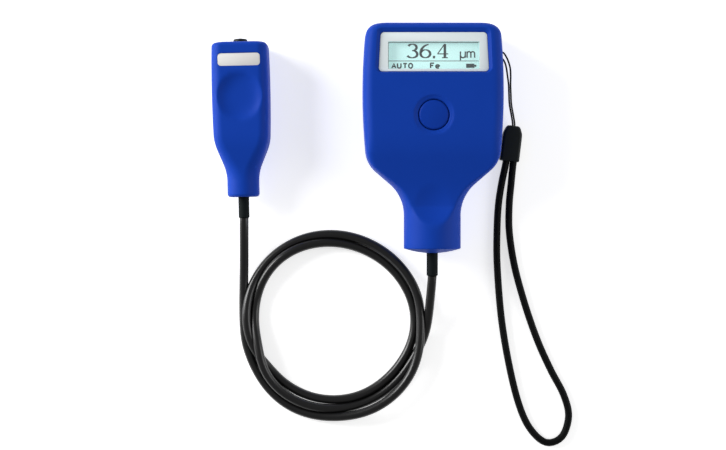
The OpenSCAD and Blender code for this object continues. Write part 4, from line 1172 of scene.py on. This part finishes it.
class GAUGE_OT_strap(Operator):
    """The wrist strap: string, clasp and loop"""

    bl_idname = "gauge.strap"
    bl_label = "Wrist strap"

    def execute(self, context):
        looks = context.scene.gauge_looks
        cords, finishes = looks.cords, looks.finishes
        left, right = BAND_SHIFT - BAND_PITCH / 2, BAND_SHIFT + BAND_PITCH / 2
        inside, outside = 0.004, -0.0015
        path = spline([on_clasp(left, inside), on_clasp(left, outside), *BAND_ROUTE,
                       on_clasp(right, outside), on_clasp(right, inside)], BAND_STEP)
        band = sweep("strap_loop", path, cords.band_diameter / 2, 24)
        braid = palette.braided("strap_braid", finishes.strap, 12.0, 0.02, 0.00012, 0.5)
        place(band, braid, "strap_cord", "strap_band", degrees=SHARP_ON_CORDS)
        on_clasp(left, 0.0)
        path_length(path)

        side, top = STRING_PITCH / 2, CLASP_LENGTH
        inside, outside = top - 0.003, top + 0.001
        path = spline([on_clasp(side, inside), on_clasp(side, outside), *STRING_ROUTE,
                       on_clasp(-side, outside), on_clasp(-side, inside)], STRING_STEP)
        string = sweep("strap_thread", path, cords.string_diameter / 2, 14)
        braid = palette.braided("thread_braid", finishes.strap, 6.0, 0.006, 0.00003, 0.5)
        place(string, braid, "strap_cord", "strap_string", degrees=SHARP_ON_CORDS)
        on_clasp(side, top)
        path_length(path)

        clasp, band_hole, string_hole = self.clasp(), 0.0017, 0.00055
        for x, y, radius, out in ((left, 0.0, band_hole, -1), (right, 0.0, band_hole, -1),
                                  (side, top, string_hole, 1), (-side, top, string_hole, 1)):
            foot = on_clasp(x, y - out * 0.0042)
            combine(clasp, cylinder("hole", foot, CLASP_TURN @ Vector((0, out, 0)), radius, BORE_REACH), "DIFFERENCE")
        place(clasp, black_moulding(finishes), "black_plastic", "strap_clasp")
        return {"FINISHED"}

    def clasp(self):
        """A tapered block with soft edges: sections across its length, with how far each draws in."""
        half, thick, corner = 0.00435, 0.006, 0.0013
        rings = []
        for y, narrow, thin in (
            (0.0, 0.0004, 0.0004), (0.00012, 0.00012, 0.00012), (0.0004, 0.0, 0.0), (0.003, 0.0, 0.0),
            (0.008, 0.0, 0.0), (0.0118, 0.00005, 0.0), (0.0128, 0.0002, 0.00005), (0.0138, 0.00055, 0.0002),
            (0.0147, 0.0009, 0.0004), (0.0153, 0.0012, 0.0006), (0.0157, 0.00145, 0.0009), (0.016, 0.0019, 0.0013),
        ):
            ring = rounded_ring(narrow - half, half - narrow, thin, thick - thin, corner, 0.0, 6)
            rings.append([on_clasp(p.x, y, p.y) for p in ring])
        return stack("clasp", rings)


# The window's slope: shares of the way out from the lens and of the way up to the front
WINDOW_SLOPE = (
    (0.0, 0.0), (0.35, 0.36), (0.7, 0.68), (0.85, 0.82), (0.94, 0.92), (1.0, 0.985), (1.12, 1.01), (1.12, 3.0),
)
# The button's well and the dish round it: radii and depths under the front
BUTTON_WELL = (
    (0.00675, 0.01), (0.00675, 0.0014), (0.00685, 0.001), (0.00705, 0.00074), (0.0073, 0.0006), (0.0077, 0.00051),
    (0.00795, 0.00042), (0.00835, 0.00022), (0.0087, 0.00006), (0.0089, 0.00001), (0.0091, -0.00001), (0.0091, -0.004),
)
GRIP_GROOVE = ((0.0002, -0.0104), (0.0007, -0.0098), (0.0007, 0.0098), (0.0002, 0.0104))
NOSE_BORE = 0.0026


class GAUGE_OT_gauge_cases(Operator):
    """The gauge's front case, rear case and battery door"""

    bl_idname = "gauge.gauge_cases"
    bl_label = "Gauge housing"

    def execute(self, context):
        looks = context.scene.gauge_looks
        form = looks.gauge
        blue = blue_shell(looks.finishes)
        outline = Outline(form)
        front = half_shell("gauge_front", outline, form.front_height, scooped(form), GAUGE_PLANE)
        opening = stack("opening", [rounded_ring(*OPENING, 0.0005, z) for z in OPENING_DEPTH])
        well = turned("button_well", [(radius, GAUGE_FRONT - depth) for radius, depth in BUTTON_WELL], BUTTON_AT)
        for tool in (self.window(), opening, well, bore(form.nose_at, GAUGE_PLANE, NOSE_BORE)):
            combine(front, tool, "DIFFERENCE")
        place(front, blue, "blue_plastic", "front_case")

        rear = half_shell("gauge_rear", outline, form.rear_height, plain, GAUGE_PLANE, down=True)
        for tool, operation in self.rear_tools(form, outline):
            combine(rear, tool, operation)
        place(rear, blue, "blue_plastic", "rear_case")

        low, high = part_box("battery_door")
        door = solid_half("door", outline, form.rear_height, plain, GAUGE_PLANE, form.shoulder_at)
        panel = box_solid("panel", (low.x + DOOR_RAIL, low.y, low.z - 0.01),
                          (high.x - DOOR_RAIL, high.y + 0.01, high.z))
        combine(door, panel, "INTERSECT")
        combine(door, box_solid("rails", (low.x, low.y + 0.001, high.z - 0.0007), (high.x, 0.0449, high.z)), "UNION")
        for k in range(4):
            y = form.end_at - 0.008 - 0.0022 * k
            combine(door, turned("groove", GRIP_GROOVE, (0, y, -0.0001), (1, 0, 0), 24), "DIFFERENCE")
        place(door, blue, "blue_plastic", "battery_door", body="door")
        return {"FINISHED"}

    def window(self):
        """Sloped recess round the lens, with a soft upper edge."""
        low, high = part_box("display_lens")
        gap = 0.0001
        half, foot, head = high.x - LENS_TAPER / 4 + gap, low.y - gap, high.y + gap
        rings = [window_ring(half, LENS_TAPER, foot, head, LENS_CORNER, z) for z in (low.z, high.z)]
        base = high.z + 2e-6
        for out, up in WINDOW_SLOPE:
            rings.append(window_ring(half + 0.0014 * out, LENS_TAPER, foot - 0.0005 * out, head + 0.0023 * out,
                                     LENS_CORNER + 0.0012 * out, base + (GAUGE_FRONT - high.z) * up))
        return stack("window", rings)

    def rear_tools(self, form, outline):
        """What is joined to the rear half and then cut out of it: battery bay, door seat and holes."""
        low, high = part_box("battery_door")
        gap, wall, under, past = 0.0003, 0.0012, -0.01, 0.06
        inner, outer = DOOR_RAIL - gap, -gap
        bay_low, bay_high = (-0.025, 0.0205, -0.001), (0.025, 0.0439, 0.0131)
        pad = solid_half("pad", outline, form.rear_height, plain, GAUGE_PLANE, form.shoulder_at, form.wall / 2)
        room = box_solid("room", (low.x - wall, low.y - wall, under), (high.x + wall, past, 0.0033))
        combine(pad, room, "INTERSECT")
        yield pad, "UNION"
        yield box_solid("bay_wall", (bay_low[0] - wall, bay_low[1] - wall, 0.002),
                        [c + wall for c in bay_high]), "UNION"
        yield box_solid("bay", bay_low, bay_high), "DIFFERENCE"
        for inset, foot in ((inner, under), (outer, 0.0008)):
            yield box_solid("door_seat", (low.x + inset, low.y - gap, foot),
                            (high.x - inset, past, high.z + gap)), "DIFFERENCE"
        for x, y in SCREW_SPOTS:
            yield from screw_seat(x, y, *SCREW_SEAT)
        for y in (0.03885, 0.03615):
            yield cylinder("eye", (0.0264, y, 0.009), (1, 0, 0), 0.0007, 0.006, 32), "DIFFERENCE"
        yield bore(form.nose_at, GAUGE_PLANE, NOSE_BORE), "DIFFERENCE"


# Words on the display: left foot, height, space after a letter, widths of thin and thick strokes, and stretch
WORDS = {
    "reading": (-0.0115, 0.0341, 0.0061, 0.0007, 0.00045, 0.0011, 1.32),
    "unit": (0.0117, 0.0342, 0.0039, 0.0008, 0.0006, 0.0006, 1.0),
    "mode": (-0.0181, 0.0297, 0.002, 0.0008, 0.00062, 0.00062, 1.2),
    "base": (-0.0014, 0.0297, 0.0022, 0.0006, 0.00062, 0.00062, 1.2),
}
# Rules, two painted shadow lines and the battery mark on the display: ends and width
RULES_AND_PAINTED_SHADOWS = (
    ((-0.0197, 0.0328), (0.0196, 0.0328), 0.00028),
    # The next two lines, along the top and left edges of the display, are painted shadow of the lens border
    ((-0.0197, 0.0408), (0.0196, 0.0408), 0.0003),
    ((-0.0197, 0.0408), (-0.0197, 0.0292), 0.0003),
    ((0.0142, 0.0307), (0.0178, 0.0307), 0.0018),
    ((0.0178, 0.0307), (0.0186, 0.0307), 0.0009),
)
MARK_LIFT = 0.00002


class GAUGE_OT_display(Operator):
    """The lens with its printed border, the display's ground, its marks and painted shadow lines"""

    bl_idname = "gauge.display"
    bl_label = "Display"

    def execute(self, context):
        looks = context.scene.gauge_looks
        finishes = looks.finishes
        low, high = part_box("display_lens")
        half, edge, corner = high.x - LENS_TAPER / 4, 0.00025, 0.0003
        bend = edge * EDGE_BEND
        border = stack("lens_border", [
            window_ring(half - inset, LENS_TAPER, low.y + inset, high.y - inset, LENS_CORNER - inset, z)
            for z, inset in ((low.z, 0.0), (high.z - edge, 0.0), (high.z - bend, bend), (high.z, edge))
        ])
        view = stack("view", [rounded_ring(*VIEW, corner, z) for z in (low.z - 0.001, high.z + 0.001)])
        combine(border, view, "DIFFERENCE")
        printed = palette.moulded("lens_print", finishes.lens_print, 900.0, 0.2, 0.000004, mottle=0.02, specular=0.45,
                                  spread=0.06)
        place(border, printed, "clear_lens", "display_lens")
        pane = bevelled_plate("lens_pane", *VIEW, corner, high.z - 0.0004, high.z - 0.00005, 0.0001)
        place(pane, palette.clear("lens_clear"), "clear_lens")

        low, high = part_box("lcd_panel")
        ground = bevelled_plate("lcd_ground", low.x, high.x, low.y, high.y, 0.0004, low.z, high.z, 0.0002)
        # The ground glows like a backlight, and the glow also paints light over the shade that the recess casts on it
        face = palette.moulded("lcd_face", finishes.lcd, 6000.0, 0.35, 0.000003, mottle=0.03, specular=0.3, glow=0.45)
        place(ground, face, "lcd_glass", "lcd_panel")
        marks = Marks(high.z + MARK_LIFT)
        for key, form in WORDS.items():
            marks.write(getattr(looks.display, key), *form)
        for start, end, width in RULES_AND_PAINTED_SHADOWS:
            marks.stroke([start, end], [width] * 2)
        ink = palette.moulded("lcd_ink", finishes.ink, 5000.0, 0.4, 0.000001, mottle=0.1, specular=0.2)
        place(marks.build("lcd_marks"), ink, "lcd_glass")
        return {"FINISHED"}


class Marks:
    """Flat strokes on the display: each is a line of points with a width at each point."""

    def __init__(self, z):
        self.z = z
        self.verts = []
        self.faces = []

    def stroke(self, points, widths):
        """Adds one stroke."""
        points = [Vector((*p, 0)) for p in points]
        first = len(self.verts)
        for i, (p, w) in enumerate(zip(points, widths)):
            head = (points[min(i + 1, len(points) - 1)] - points[max(i - 1, 0)]).normalized()
            side = Vector((-head.y, head.x, 0)) * w / 2
            for q in (p + side, p - side):
                self.verts.append((q.x, q.y, self.z))
        for i in range(len(points) - 1):
            a = first + 2 * i
            self.faces.append([a, a + 1, a + 3, a + 2])

    def write(self, text, x, y, height, space, thin, thick, stretch):
        """Writes a word from its left foot."""
        for letter in text:
            strokes, wide = glyph(letter)
            for points, weights in strokes:
                self.stroke([(x + u * height * stretch, y + v * height) for u, v in points],
                            [mix(thin, thick, weight) for weight in weights])
            x += wide * height * stretch + space

    def build(self, name):
        """The strokes as thin closed plates."""
        count = len(self.verts)
        verts = self.verts + [(x, y, z + MARK_LIFT) for x, y, z in self.verts]
        faces = []
        for a, b, c, d in self.faces:
            faces += [[a, d, c, b], [count + a, count + b, count + c, count + d]]
            for p, q in ((a, b), (b, c), (c, d), (d, a)):
                faces.append([p, q, count + q, count + p])
        return new_object(name, verts, faces)


def bow(cx, cy, rx, ry, start, end, n=20):
    """An arc with weight on its upright sides."""
    angles = [math.radians(mix(start, end, k / n)) for k in range(n + 1)]
    return ([(cx + rx * math.cos(a), cy + ry * math.sin(a)) for a in angles], [abs(math.cos(a)) ** 1.3 for a in angles])


def line(*points, weight=0.0):
    """A straight-edged stroke."""
    return list(points), [weight] * len(points)


def glyph(letter):
    """Strokes of a digit or letter in a box one unit high, and its width."""
    digits = {
        "0": [bow(0.3, 0.5, 0.27, 0.48, 90, 450, 32)],
        "1": [line((0.3, 0.0), (0.3, 1.0), weight=1), line((0.3, 0.98), (0.1, 0.84)), line((0.08, 0.02), (0.52, 0.02))],
        "2": [bow(0.3, 0.72, 0.26, 0.26, 165, -40), line((0.5, 0.55), (0.06, 0.05), weight=0.3),
              line((0.04, 0.06), (0.56, 0.06), weight=0.7), line((0.55, 0.03), (0.58, 0.22))],
        "3": [bow(0.28, 0.75, 0.23, 0.23, 155, -90), bow(0.27, 0.27, 0.28, 0.26, 90, -155)],
        "4": [line((0.42, 0.0), (0.42, 1.0), weight=1), line((0.4, 0.98), (0.03, 0.3)), line((0.02, 0.29), (0.6, 0.29)),
              line((0.26, 0.02), (0.58, 0.02))],
        "5": [line((0.12, 0.95), (0.54, 0.95), weight=0.7), line((0.12, 0.98), (0.09, 0.5)),
              bow(0.27, 0.3, 0.28, 0.29, 130, -155)],
        "6": [bow(0.3, 0.3, 0.26, 0.28, 90, 450, 32), bow(0.56, 0.34, 0.52, 0.63, 180, 100)],
        "7": [line((0.04, 0.95), (0.57, 0.95), weight=0.7), line((0.55, 0.95), (0.24, 0.0), weight=0.5)],
        "8": [bow(0.3, 0.75, 0.22, 0.23, 90, 450, 28), bow(0.3, 0.26, 0.27, 0.24, 90, 450, 32)],
        "9": [bow(0.3, 0.7, 0.26, 0.28, 90, 450, 32), bow(0.04, 0.66, 0.52, 0.63, 0, -80)],
        ".": [line((0.02, 0.06), (0.14, 0.06), weight=1)],
    }
    letters = {
        "A": [line((0.0, 0.0), (0.35, 1.0), (0.7, 0.0)), line((0.14, 0.36), (0.56, 0.36))],
        "U": [line((0.0, 1.0), (0.0, 0.3)), bow(0.31, 0.3, 0.31, 0.3, 180, 360, 12), line((0.62, 0.3), (0.62, 1.0))],
        "T": [line((0.0, 0.97), (0.7, 0.97)), line((0.35, 1.0), (0.35, 0.0))],
        "O": [bow(0.34, 0.5, 0.34, 0.5, 90, 450, 28)],
        "F": [line((0.05, 0.0), (0.05, 1.0)), line((0.0, 0.97), (0.62, 0.97)), line((0.05, 0.52), (0.48, 0.52))],
        "e": [bow(0.3, 0.32, 0.3, 0.32, 0, 310), line((0.0, 0.33), (0.6, 0.33))],
        "u": [line((0.0, -0.3), (0.0, 0.7)), bow(0.27, 0.27, 0.27, 0.27, 180, 340, 10), line((0.54, 0.0), (0.54, 0.7))],
        "m": [line((0.0, 0.0), (0.0, 0.7)), bow(0.21, 0.45, 0.21, 0.23, 160, 0, 10), line((0.42, 0.48), (0.42, 0.0)),
              bow(0.63, 0.45, 0.21, 0.23, 180, 0, 10), line((0.84, 0.48), (0.84, 0.0))],
    }
    widths = {".": 0.16, "m": 0.84, "u": 0.54}
    if letter in digits:
        return digits[letter], widths.get(letter, 0.6)
    if letter in letters:
        return letters[letter], widths.get(letter, 0.68)
    raise RuntimeError(f"the display has no mark for {letter!r}")


class GAUGE_OT_button(Operator):
    """The push button"""

    bl_idname = "gauge.button"
    bl_label = "Push button"

    def execute(self, context):
        finishes = context.scene.gauge_looks.finishes
        low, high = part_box("push_button")
        top, stem, cap, edge, crown = high.z, 0.0024, 0.00645, 0.0009, 0.0003
        flange, flange_top = (high.x - low.x) / 2, top - 0.0021
        flange_foot = flange_top - 0.001
        profile = [(stem, low.z), (stem, flange_foot), (flange, flange_foot), (flange, flange_top), (cap, flange_top)]
        for a in run(0, math.pi / 2, 6) + [math.pi / 2]:
            profile.append((cap - edge * (1 - math.cos(a)), top - crown - edge * (1 - math.sin(a))))
        for s in run(1, 0, 9)[1:]:
            profile.append(((cap - edge) * s, top - crown * s * s))
        button = turned("button_cap", profile, BUTTON_AT)
        # The button's lighter edges are a painted highlight
        material = palette.moulded("button_moulding", finishes.button, 3200.0, 0.42, 0.00002, worn=(HIGHLIGHT_BLUE, 0.3),
                                   mottle=0.07, specular=0.08)
        place(button, material, "button_blue", "push_button", body="button")
        return {"FINISHED"}


LABEL_FROM_END = 0.0081
LABEL_HALF = (0.00935, 0.00285)
LABEL_CORNER = 0.0015
LABEL_SINK = 0.0005
LABEL_GAP = 0.0001
TIP_BORE, CABLE_BORE = 0.0034, 0.0025
SPRING_WIRE = 0.0006
SPRING_SIDES = 10


class GAUGE_OT_probe(Operator):
    """The probe's two halves and its label"""

    bl_idname = "gauge.probe"
    bl_label = "Probe housing"

    def execute(self, context):
        looks = context.scene.gauge_looks
        form = looks.probe
        blue = blue_shell(looks.finishes)
        outline = Outline(form)
        front = half_shell("probe_front", outline, form.front_height, dented(form), PROBE_AXIS_Z)
        rear = half_shell("probe_rear", outline, form.rear_height, plain, PROBE_AXIS_Z, down=True)
        for shell in (front, rear):
            for y, radius in ((form.end_at, TIP_BORE), (0.0, CABLE_BORE)):
                combine(shell, bore(y, PROBE_AXIS_Z, radius), "DIFFERENCE")
        top = 2 * PROBE_AXIS_Z
        combine(front, stack("label_seat", [
            rounded_ring(*self.label_sides(form, grow), LABEL_CORNER + grow, top + rise)
            for rise, grow in ((-LABEL_SINK, 0.0), (-0.0001, 0.00002), (-0.00002, 0.0001), (0.00002, 0.00025),
                               (0.002, 0.00025))
        ]), "DIFFERENCE")
        for x, y in probe_screw_spots(form):
            for tool, operation in screw_seat(x, y, *PROBE_SCREW_SEAT):
                combine(rear, tool, operation)
        seat = top - LABEL_SINK
        label = bevelled_plate("label_paper", *self.label_sides(form, -LABEL_GAP), LABEL_CORNER - LABEL_GAP,
                               seat, seat + 0.00025, 0.00006)
        for obj in (front, rear, label):
            obj.data.transform(probe_matrix(form))
        place(front, blue, "blue_plastic", "probe_front_case")
        place(rear, blue, "blue_plastic", "probe_rear_case")
        paper = palette.moulded("label_stock", looks.finishes.label, 1600.0, 0.5, 0.000008, specular=0.35)
        place(label, paper, "label_paper", "probe_label")
        return {"FINISHED"}

    def label_sides(self, form, grow):
        """Both sides, foot and head of the label, grown all round."""
        y, (half_x, half_y) = form.end_at - LABEL_FROM_END, LABEL_HALF
        return -half_x - grow, half_x + grow, y - half_y - grow, y + half_y + grow


class GAUGE_OT_tip(Operator):
    """The probe's sprung tip"""

    bl_idname = "gauge.tip"
    bl_label = "Probe tip"

    def execute(self, context):
        looks = context.scene.gauge_looks
        form = looks.probe
        axis, origin = along_probe(form), on_probe(form, 0, 0)
        end, stop = form.end_at + 0.002, form.end_at - 0.0135
        inner, outer, flange, flange_top = 0.0021, 0.0031, 0.0044, stop + 0.0014
        collar = [(inner, stop), (flange, stop), (flange, flange_top), (outer, flange_top), (outer, end - 0.0004),
                  (0.00298, end - 0.00012), (0.0027, end), (0.00225, end), (inner, end - 0.0002)]
        obj = turned("tip_collar", collar, origin, axis, 64)
        place(obj, black_moulding(looks.finishes), "black_plastic", "tip_sleeve", body="probe_tip")
        pole, dome = 0.002, end - 0.0014
        core = [(pole, form.end_at - 0.0235), (pole, dome)]
        core += [(pole * math.cos(a), dome + pole * math.sin(a)) for a in (0.2, 0.5, 0.8, 1.1, 1.3, 1.5)]
        obj = turned("tip_pole", core, origin, axis, 48)
        place(obj, plated_steel(), "plated_steel", "tip_core", body="probe_tip")
        seat, coil_y, turns, radius = form.end_at - 0.0342, form.end_at - 0.0215, 7, 0.0029
        path = [on_probe(form, x, seat + rise, PROBE_AXIS_Z + z)
                for rise, x, z in helix(turns, SPRING_WIRE, coil_y - seat, radius, radius)]
        spring = sweep("tip_coil_spring", path, SPRING_WIRE / 2, SPRING_SIDES)
        place(spring, plated_steel(), "plated_steel", "tip_spring", degrees=SHARP_ON_CORDS)
        on_probe(form, 0, seat, PROBE_AXIS_Z)
        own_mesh(spring)
        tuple(axis)
        return {"FINISHED"}


class GAUGE_OT_sleeves(Operator):
    """The strain relief sleeves at both ends of the cable"""

    bl_idname = "gauge.sleeves"
    bl_label = "Cable sleeves"

    def execute(self, context):
        looks = context.scene.gauge_looks
        rubber = palette.moulded("sleeve_rubber", looks.finishes.black, 1800.0, 0.7, 0.00002, mottle=0.2, specular=0.12)
        nose = Vector((0, looks.gauge.nose_at - looks.gauge.crown, GAUGE_PLANE))
        end = on_probe(looks.probe, 0, 0)
        for name, node, origin, axis, radius, out, inner in (
            ("gauge_relief", "gauge_sleeve", nose, -Vector(ALONG_Y), 0.0025, 0.01, 0.0046),
            ("probe_relief", "probe_sleeve", end, -along_probe(looks.probe), 0.0024, 0.0093, 0.0021),
        ):
            collar = radius + 0.0014
            profile = [(collar, -inner - 0.0016), (collar, -inner), (radius, -inner), (radius, out - 0.0005),
                       (radius - 0.00005, out - 0.0002), (radius - 0.0002, out - 0.00005), (radius - 0.0004, out)]
            place(turned(name, profile, origin, axis, 64), rubber, "black_rubber", node)
        return {"FINISHED"}


class GAUGE_OT_inside(Operator):
    """The pieces inside: finishes of the CAD pieces, and the cells, contact springs and screws"""

    bl_idname = "gauge.inside"
    bl_label = "Inside pieces"

    def execute(self, context):
        looks = context.scene.gauge_looks
        steel = plated_steel()
        mask = palette.moulded("solder_mask", (0.012, 0.09, 0.035), 1400.0, 0.3, 0.00001, mottle=0.25)
        white = palette.moulded("white_moulding", (0.75, 0.75, 0.72), 2200.0, 0.5, 0.00002, mottle=0.04)
        wrap = palette.moulded("cell_wrap", (0.03, 0.034, 0.04), 700.0, 0.3, 0.000006, mottle=0.2)
        for material, nodes in (
            (mask, ("main_board", "probe_board")),
            (white, ("lcd_frame",)),
            (black_moulding(looks.finishes), ("tact_switch", "switch_plunger", "tip_bush", "spring_seat")),
            (steel, ("plus_plate", "minus_plate", "bridge_plate")),
            (palette.wound("copper_winding", (0.62, 0.27, 0.1)), ("tip_coil",)),
        ):
            for node in nodes:
                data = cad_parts[node].data
                data.materials.clear()
                data.materials.append(material)
        self.contact_springs(steel)
        for node, side in (("battery_upper", 1), ("battery_lower", -1)):
            self.cell(node, wrap, steel, side)
        self.screws("gauge_screw_set", "case_screws", SCREW_SPOTS, *SCREW_FORM, steel)
        spots = [on_probe(looks.probe, x, y).to_2d() for x, y in probe_screw_spots(looks.probe)]
        self.screws("probe_screw_set", "probe_screws", spots, *PROBE_SCREW_FORM, steel)
        return {"FINISHED"}

    def cell(self, node, wrap, steel, side):
        """A plain sleeved cell along X, with its bare end cap and raised contact."""
        low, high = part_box(node)
        radius, top = (high[2] - low[2]) / 2, high[0] - low[0]
        foot = (Vector(low) + Vector(high)) / 2 - Vector((side * top / 2, 0, 0))
        sleeve = [(MIDDLE, 0.0003), (radius - 0.0012, 0.0003), (radius - 0.001, 0.0001), (radius - 0.0004, 0.0001),
                  (radius, 0.0006), (radius, top - 0.0018), (radius - 0.0003, top - 0.0013),
                  (radius - 0.0011, top - 0.0011), (radius - 0.0014, top - 0.0014), (MIDDLE, top - 0.0014)]
        cap = [(MIDDLE, 0.0), (radius - 0.0017, 0.0), (radius - 0.0013, 0.0002), (radius - 0.0013, 0.0005),
               (MIDDLE, 0.0005)]
        contact = [(MIDDLE, top - 0.0016), (radius - 0.0015, top - 0.0016), (radius - 0.0015, top - 0.0013),
                   (0.0027, top - 0.001), (0.0024, top - 0.0008), (0.0023, top - 0.0002), (0.002, top), (MIDDLE, top)]
        caps = turned(node + "_caps", cap, foot, (side, 0, 0), 64)
        combine(caps, turned("contact", contact, foot, (side, 0, 0), 64), "UNION")
        place(turned(node + "_sleeve", sleeve, foot, (side, 0, 0)), wrap, "cell_wrap", node)
        place(caps, steel, "plated_steel")

    def screws(self, name, node, spots, head, shank, depth, steel):
        """Screws whose domed heads, with a cross recess, face the back."""
        low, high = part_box(node)
        base, top = low[2], high[2]
        profile = [(MIDDLE, base), (head * 0.45, base + 0.00005), (head * 0.8, base + 0.00025),
                   (head * 0.96, base + 0.0006), (head, base + 0.001), (head, base + depth), (shank, base + depth),
                   (shank, top - 0.0008), (shank * 0.4, top)]
        long, short = head * 0.62, head * 0.15
        group = None
        for k, (x, y) in enumerate(spots):
            screw = turned(name, profile, (x, y, 0), sides=48)
            turn = Matrix.Rotation(math.radians(17 + 31 * k), 3, "Z")
            for wide, tall in ((long, short), (short, long)):
                rings = [[Vector((x, y, z)) + turn @ Vector((i * wide * grow, j * tall * grow, 0)) for i, j in CORNERS]
                         for z, grow in ((base - 0.0002, 1.06), (base + 0.0012, 0.72))]
                combine(screw, stack("recess", rings), "DIFFERENCE")
            if group is None:
                group = screw
            else:
                combine(group, screw, "UNION")
        place(group, steel, "plated_steel", node, degrees=30)

    def contact_springs(self, steel):
        """Conical springs at the flat ends of the two cells."""
        turns, reach, wide, narrow = 4, 0.0045, 0.00385, 0.0024
        for name, node, foot, side in (("upper_spring", "bridge_spring", (-0.0245, 0.03775, 0.00745), 1),
                                       ("lower_spring", "minus_spring", (0.0245, 0.02665, 0.00745), -1)):
            path = [Vector(foot) + Vector((side * rise, y, z))
                    for rise, y, z in helix(turns, SPRING_WIRE, reach, wide, narrow)]
            spring = sweep(name, path, SPRING_WIRE / 2, SPRING_SIDES)
            place(spring, steel, "plated_steel", node, degrees=SHARP_ON_CORDS)


class GAUGE_PT_panel(Panel):
    """Lists the steps that build the gauge's looks"""

    bl_label = "Coating thickness gauge"
    bl_idname = "GAUGE_PT_panel"
    bl_space_type = "VIEW_3D"
    bl_region_type = "UI"
    bl_category = "Gauge"

    def draw(self, context):
        looks = context.scene.gauge_looks
        for step in STEPS:
            self.layout.operator(step.bl_idname)
        for group in (looks.gauge, looks.probe, looks.finishes, looks.cords, looks.display, looks.stage):
            box = self.layout.box()
            for key in group.__annotations__:
                box.prop(group, key)


STEPS = (
    GAUGE_OT_stage, GAUGE_OT_cable, GAUGE_OT_strap, GAUGE_OT_gauge_cases, GAUGE_OT_display, GAUGE_OT_button,
    GAUGE_OT_probe, GAUGE_OT_tip, GAUGE_OT_sleeves, GAUGE_OT_inside,
)
CLASSES = (GaugeForm, ProbeForm, Finishes, Cords, Display, Stage, GaugeLooks, *STEPS, GAUGE_PT_panel)


def register():
    """Makes the settings, the steps and the panel known."""
    for each in CLASSES:
        bpy.utils.register_class(each)
    bpy.types.Scene.gauge_looks = PointerProperty(type=GaugeLooks)


def unregister():
    """Takes them away again."""
    del bpy.types.Scene.gauge_looks
    for each in reversed(CLASSES):
        bpy.utils.unregister_class(each)


def main():
    """Builds all pieces in order."""
    register()
    for step in STEPS:
        area, name = step.bl_idname.split(".")
        getattr(getattr(bpy.ops, area), name)()


if __name__ == "__main__":
    main()
